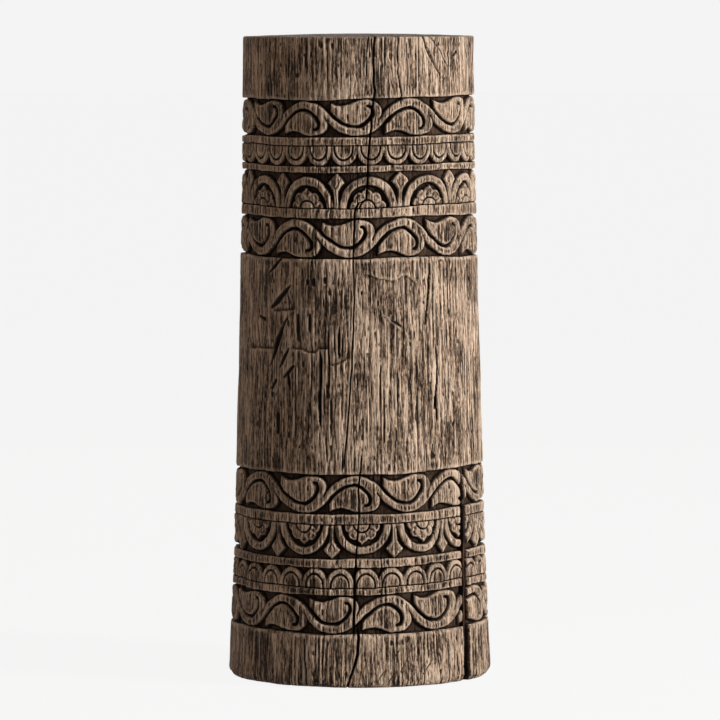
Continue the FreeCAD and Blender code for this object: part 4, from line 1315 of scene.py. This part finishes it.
    def underside(self) -> tuple[np.ndarray, np.ndarray, np.ndarray]:
        """Rings of the flat lower end, from the rim in.

        Returns:
            Height, radius and ground of each point.
        """
        radius = self.radius[-1][None, :] * np.linspace(0.96, 0.10, 9)[:, None]
        return np.full(radius.shape, UNDERSIDE), radius, np.zeros(radius.shape)


# ---------------------------------------------------------------- pieces
def hand_over(piece: bpy.types.Object, slot: str, *nodes: str) -> None:
    """Rides a piece on the body and hides the CAD nodes that it stands for.

    Args:
        piece: the finished piece.
        slot: not used.
        nodes: the CAD nodes that it replaces.
    """
    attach(piece, BODY)
    if nodes:
        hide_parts(*nodes)
    LOG.info("%s: %d faces", piece.name, len(piece.data.polygons))


def link(name: str, mesh: bpy.types.Mesh, material: bpy.types.Material) -> bpy.types.Object:
    """Puts a mesh in the scene.

    Args:
        name: the piece's name.
        mesh: its mesh.
        material: its finish.

    Returns:
        The object, at the origin.
    """
    mesh.materials.append(material)
    made = bpy.data.objects.new(name, mesh)
    bpy.context.scene.collection.objects.link(made)
    return made


@dataclass
class CarvedLog:
    """The log, in drums that stand on one another."""

    finish: CarvedWood = CarvedWood()
    surface: LogSurface = field(default_factory=LogSurface)

    def build(self) -> None:
        """Makes every drum and dresses it."""
        wood = self.finish.material()
        surface = self.surface
        rows_of = {zone.name: np.flatnonzero(surface.zone_of_row == number)
                   for number, zone in enumerate(ZONES)}
        for name, zones, pieces in DRUMS:
            first, last = rows_of[zones[0]][0], rows_of[zones[-1]][-1]
            last = min(last + 1, len(surface.height) - 1)
            cuts = np.linspace(first, last, pieces + 1).astype(int)
            for number in range(pieces):
                label = name if pieces == 1 else f"{name}_{number + 1}"
                self._drum(label, cuts[number], cuts[number + 1], wood)

    def _drum(self, name: str, first: int, last: int, wood: bpy.types.Material) -> None:
        """Makes one drum.

        Args:
            name: the drum's name.
            first: its upper row.
            last: its lower row.
            wood: its finish.
        """
        surface = self.surface
        rows = slice(first, last + 1)
        grids = {key: getattr(surface, key)[rows]
                 for key in ("height", "radius", "ground", "rub", "raised")}
        grids["end"] = np.zeros(grids["height"].shape)
        if name in ("log_top", "log_foot"):
            upper = name == "log_top"
            height, radius, ground = surface.top_end() if upper else surface.underside()
            plain = np.zeros(height.shape)
            added = {"height": height, "radius": radius, "ground": ground, "rub": plain,
                     "raised": plain + 0.5, "end": plain + 1.0}
            grids = {key: np.vstack([added[key], grid] if upper else [grid, added[key]])
                     for key, grid in grids.items()}
        mesh = self._skin(name, grids.pop("height"), grids.pop("radius"), grids)
        hand_over(link(name, mesh, wood), "carved_wood", "trunk")

    def _skin(self, name: str, height: np.ndarray, radius: np.ndarray,
              marks: dict[str, np.ndarray]) -> bpy.types.Mesh:
        """A closed drum from rows of points.

        Args:
            name: the mesh's name.
            height: mm at each point.
            radius: mm at each point.
            marks: numbers kept on the points, by name.

        Returns:
            The mesh.
        """
        count, columns = height.shape
        mesh = bpy.data.meshes.new(name)
        sheet = bmesh.new()
        bmesh.ops.create_grid(sheet, x_segments=columns, y_segments=count - 1, size=0.5)
        sheet.to_mesh(mesh)
        flat = np.empty(len(mesh.vertices) * 3, np.float32)
        mesh.vertices.foreach_get("co", flat)
        flat = flat.reshape(-1, 3)
        column = np.rint((flat[:, 0] + 0.5) * columns).astype(int) % columns
        row = np.rint((flat[:, 1] + 0.5) * (count - 1)).astype(int)
        turn = np.radians(self.surface.azimuth[column])
        reach = radius[row, column] * MM
        placed = np.stack([reach * np.sin(turn), -reach * np.cos(turn),
                           height[row, column] * MM], axis=1)
        mesh.vertices.foreach_set("co", placed.astype(np.float32).ravel())
        for key, values in marks.items():
            layer = mesh.attributes.new(key, "FLOAT", "POINT")
            layer.data.foreach_set("value", values[row, column].astype(np.float32))
        sheet.clear()
        sheet.from_mesh(mesh)
        for face in sheet.faces:
            face.smooth = True
        rim = [vertex for vertex in sheet.verts if vertex.is_boundary]
        bmesh.ops.remove_doubles(sheet, verts=rim, dist=1e-7)
        loops = [edge for edge in sheet.edges if edge.is_boundary]
        for edge in loops:
            edge.smooth = False
        bmesh.ops.edgeloop_fill(sheet, edges=loops)
        bmesh.ops.recalc_face_normals(sheet, faces=sheet.faces)
        sheet.to_mesh(mesh)
        sheet.free()
        return mesh


@dataclass(frozen=True)
class Stick:
    """A riven stick: radius of its inner and outer edge, thickness, bottom and top, in mm.

    taper is the inner edge's thickness as a share of the outer's, and seed gives the unevenness.
    """

    name: str
    replaced: str
    inner: float
    outer: float
    thickness: float
    bottom: float
    top: float
    taper: float
    seed: int


@dataclass
class CheckFillers:
    """The riven slip and the split wedge that were driven into the wide check."""

    finish: SlipWood = SlipWood()
    azimuth: float = WIDE_AZIMUTH
    sticks: tuple[Stick, ...] = (
        Stick("split_slip", "check_slip", 115.0, 150.5, 3.0, 28.2, 204.2, 1.0, 5),
        Stick("driven_wedge", "check_wedge", 124.1, 147.7, 8.6, 2.0, 27.9, 0.5, 9),
    )

    def build(self) -> None:
        """Makes and dresses both."""
        wood = self.finish.material()
        for stick in self.sticks:
            hand_over(self._riven(stick, wood), "slip_wood", stick.replaced)

    def _riven(self, stick: Stick, wood: bpy.types.Material) -> bpy.types.Object:
        """A riven stick that stands in the check.

        Args:
            stick: its sizes.
            wood: its finish.

        Returns:
            The piece.
        """
        shape = bmesh.new()
        bmesh.ops.create_cube(shape, size=1.0)
        bmesh.ops.subdivide_edges(shape, edges=shape.edges[:], cuts=11, use_grid_fill=True)
        upright = GrainNoise(stick.seed, 9.0, 14.0)
        for vertex in shape.verts:
            out, side, up = vertex.co + Vector((0.5, 0.0, 0.5))
            at_top = up > 0.99
            height = stick.bottom + (stick.top - stick.bottom) * up
            wobble = float(upright.at(np.array(out * 40.0), np.array(height * 3.0)))
            width = stick.thickness * (stick.taper + (1.0 - stick.taper) * out)
            ragged = 2.2 * wobble * at_top - 3.4 * abs(wobble) * out
            reach = stick.inner + (stick.outer - stick.inner) * out + ragged * out * 0.6
            vertex.co = Vector((reach, side * width * (1.0 + 0.10 * wobble),
                                height - (1.6 * abs(wobble) if at_top else 0.0)))
        sharp = 1.0
        rims = [edge for edge in shape.edges
                if len(edge.link_faces) == 2 and edge.calc_face_angle() > sharp]
        bmesh.ops.bevel(shape, geom=rims, offset=0.35, segments=2, profile=0.5, affect="EDGES",
                        material=-1, clamp_overlap=True)
        turn = Matrix.Rotation(math.radians(self.azimuth - 90.0), 4, "Z")
        bmesh.ops.transform(shape, matrix=turn @ Matrix.Scale(MM, 4), verts=shape.verts)
        bmesh.ops.recalc_face_normals(shape, faces=shape.faces)
        for face in shape.faces:
            face.smooth = True
        mesh = bpy.data.meshes.new(stick.name)
        shape.to_mesh(mesh)
        shape.free()
        return link(stick.name, mesh, wood)


@dataclass
class Feet:
    """Rubber pads, washers and screws under the log: the CAD solids, with their finishes."""

    rubber: PadRubber = PadRubber()
    steel: FastenerSteel = FastenerSteel()

    def build(self) -> None:
        """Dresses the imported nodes."""
        rubber, steel = self.rubber.material(), self.steel.material()
        for name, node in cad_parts.items():
            if name.startswith("foot_pad"):
                self._dress(node, rubber)
            elif name in ("foot_washers", "foot_screws"):
                self._dress(node, steel)

    @staticmethod
    def _dress(node: bpy.types.Object, finish: bpy.types.Material) -> None:
        """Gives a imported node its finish."""
        for slot in node.material_slots:
            slot.material = finish
        LOG.info("%s: %s", node.name, finish.name)


# ---------------------------------------------------------------- studio
@dataclass(frozen=True)
class Softbox:
    """An area lamp: where it stands, what it looks at, its size and its power."""

    name: str
    place: tuple[float, float, float]
    target: tuple[float, float, float]
    size: float
    power: float
    colour: tuple[float, float, float] = (1.0, 1.0, 1.0)

    def build(self) -> None:
        """Makes the lamp."""
        lamp = bpy.data.lights.new(self.name, "AREA")
        lamp.shape, lamp.size, lamp.size_y = "RECTANGLE", self.size, self.size * 1.5
        lamp.energy, lamp.color = self.power, self.colour
        held = bpy.data.objects.new(self.name, lamp)
        held.location = self.place
        aim = Vector(self.target) - Vector(self.place)
        held.rotation_euler = aim.to_track_quat("-Z", "Y").to_euler()
        bpy.context.scene.collection.objects.link(held)


@dataclass
class Studio:
    """Floor, lamps, world and camera."""

    ambient: tuple[float, float, float] = (0.034, 0.019, 0.011)
    background: float = 0.905
    floor_radius: float = 40.0
    lens: float = 262.2
    sensor_width: float = 36.0
    camera_place: tuple[float, float, float] = (0.002, -6.22, 0.800)
    camera_down: float = 3.913
    camera_roll: float = 0.13
    lamps: tuple[Softbox, ...] = (
        Softbox("key_right", (2.64, -1.32, 1.25), (0.0, 0.0, 0.38), 0.7, 117.0, (1.0, 0.97, 0.94)),
        Softbox("fill_front", (0.6, -3.2, 1.7), (0.0, 0.0, 0.38), 1.4, 5.0),
        Softbox("side_left", (-2.6, -0.7, 2.0), (0.0, 0.0, 0.38), 0.4, 10.5, (1.0, 0.75, 0.56)),
        Softbox("back_fill", (-0.2, 3.1, 1.8), (0.0, 0.0, 0.38), 0.9, 9.0, (1.0, 0.93, 0.86)),
    )

    def build(self) -> None:
        """Sets the stage."""
        self._floor()
        self._world()
        for lamp in self.lamps:
            lamp.build()
        self._camera()
        bpy.context.scene.view_settings.view_transform = "Standard"

    def _floor(self) -> None:
        """A wide round floor at the frame's ground."""
        shape = bmesh.new()
        bmesh.ops.create_circle(shape, cap_ends=True, segments=64,
                                 radius=self.floor_radius)
        mesh = bpy.data.meshes.new("studio_floor")
        shape.to_mesh(mesh)
        shape.free()
        link("studio_floor", mesh, PaleGround().material())

    def _world(self) -> None:
        """Even light all round, which the camera sees as the pale background."""
        world = bpy.data.worlds.new("studio")
        bpy.context.scene.world = world
        kit = WorldKit(world)
        light = kit.node("ShaderNodeBackground", {}, {"Color": self.ambient, "Strength": 1.0})
        shown = kit.node("ShaderNodeBackground", {},
                         {"Color": (self.background,) * 3, "Strength": 1.0})
        both = kit.node("ShaderNodeMixShader", {}, {0: seen_rays(kit), 1: light, 2: shown})
        kit.feed(kit.output.inputs["Surface"], both)

    def _camera(self) -> None:
        """The camera at the photograph's viewing angle."""
        lens = bpy.data.cameras.new("camera")
        lens.lens, lens.sensor_width = self.lens, self.sensor_width
        lens.clip_start, lens.clip_end = 0.1, 200.0
        camera = bpy.data.objects.new("camera", lens)
        camera.location = self.camera_place
        camera.rotation_euler = (math.radians(90.0 - self.camera_down),
                                 math.radians(self.camera_roll), 0.0)
        bpy.context.scene.collection.objects.link(camera)
        bpy.context.scene.camera = camera


def main() -> None:
    """Builds the pedestal's pieces and the studio in order."""
    logging.basicConfig(level=logging.INFO)
    for part in (Studio(), CarvedLog(), CheckFillers(), Feet()):
        part.build()
        LOG.info("built %s", type(part).__name__)


if __name__ == "__main__":
    main()
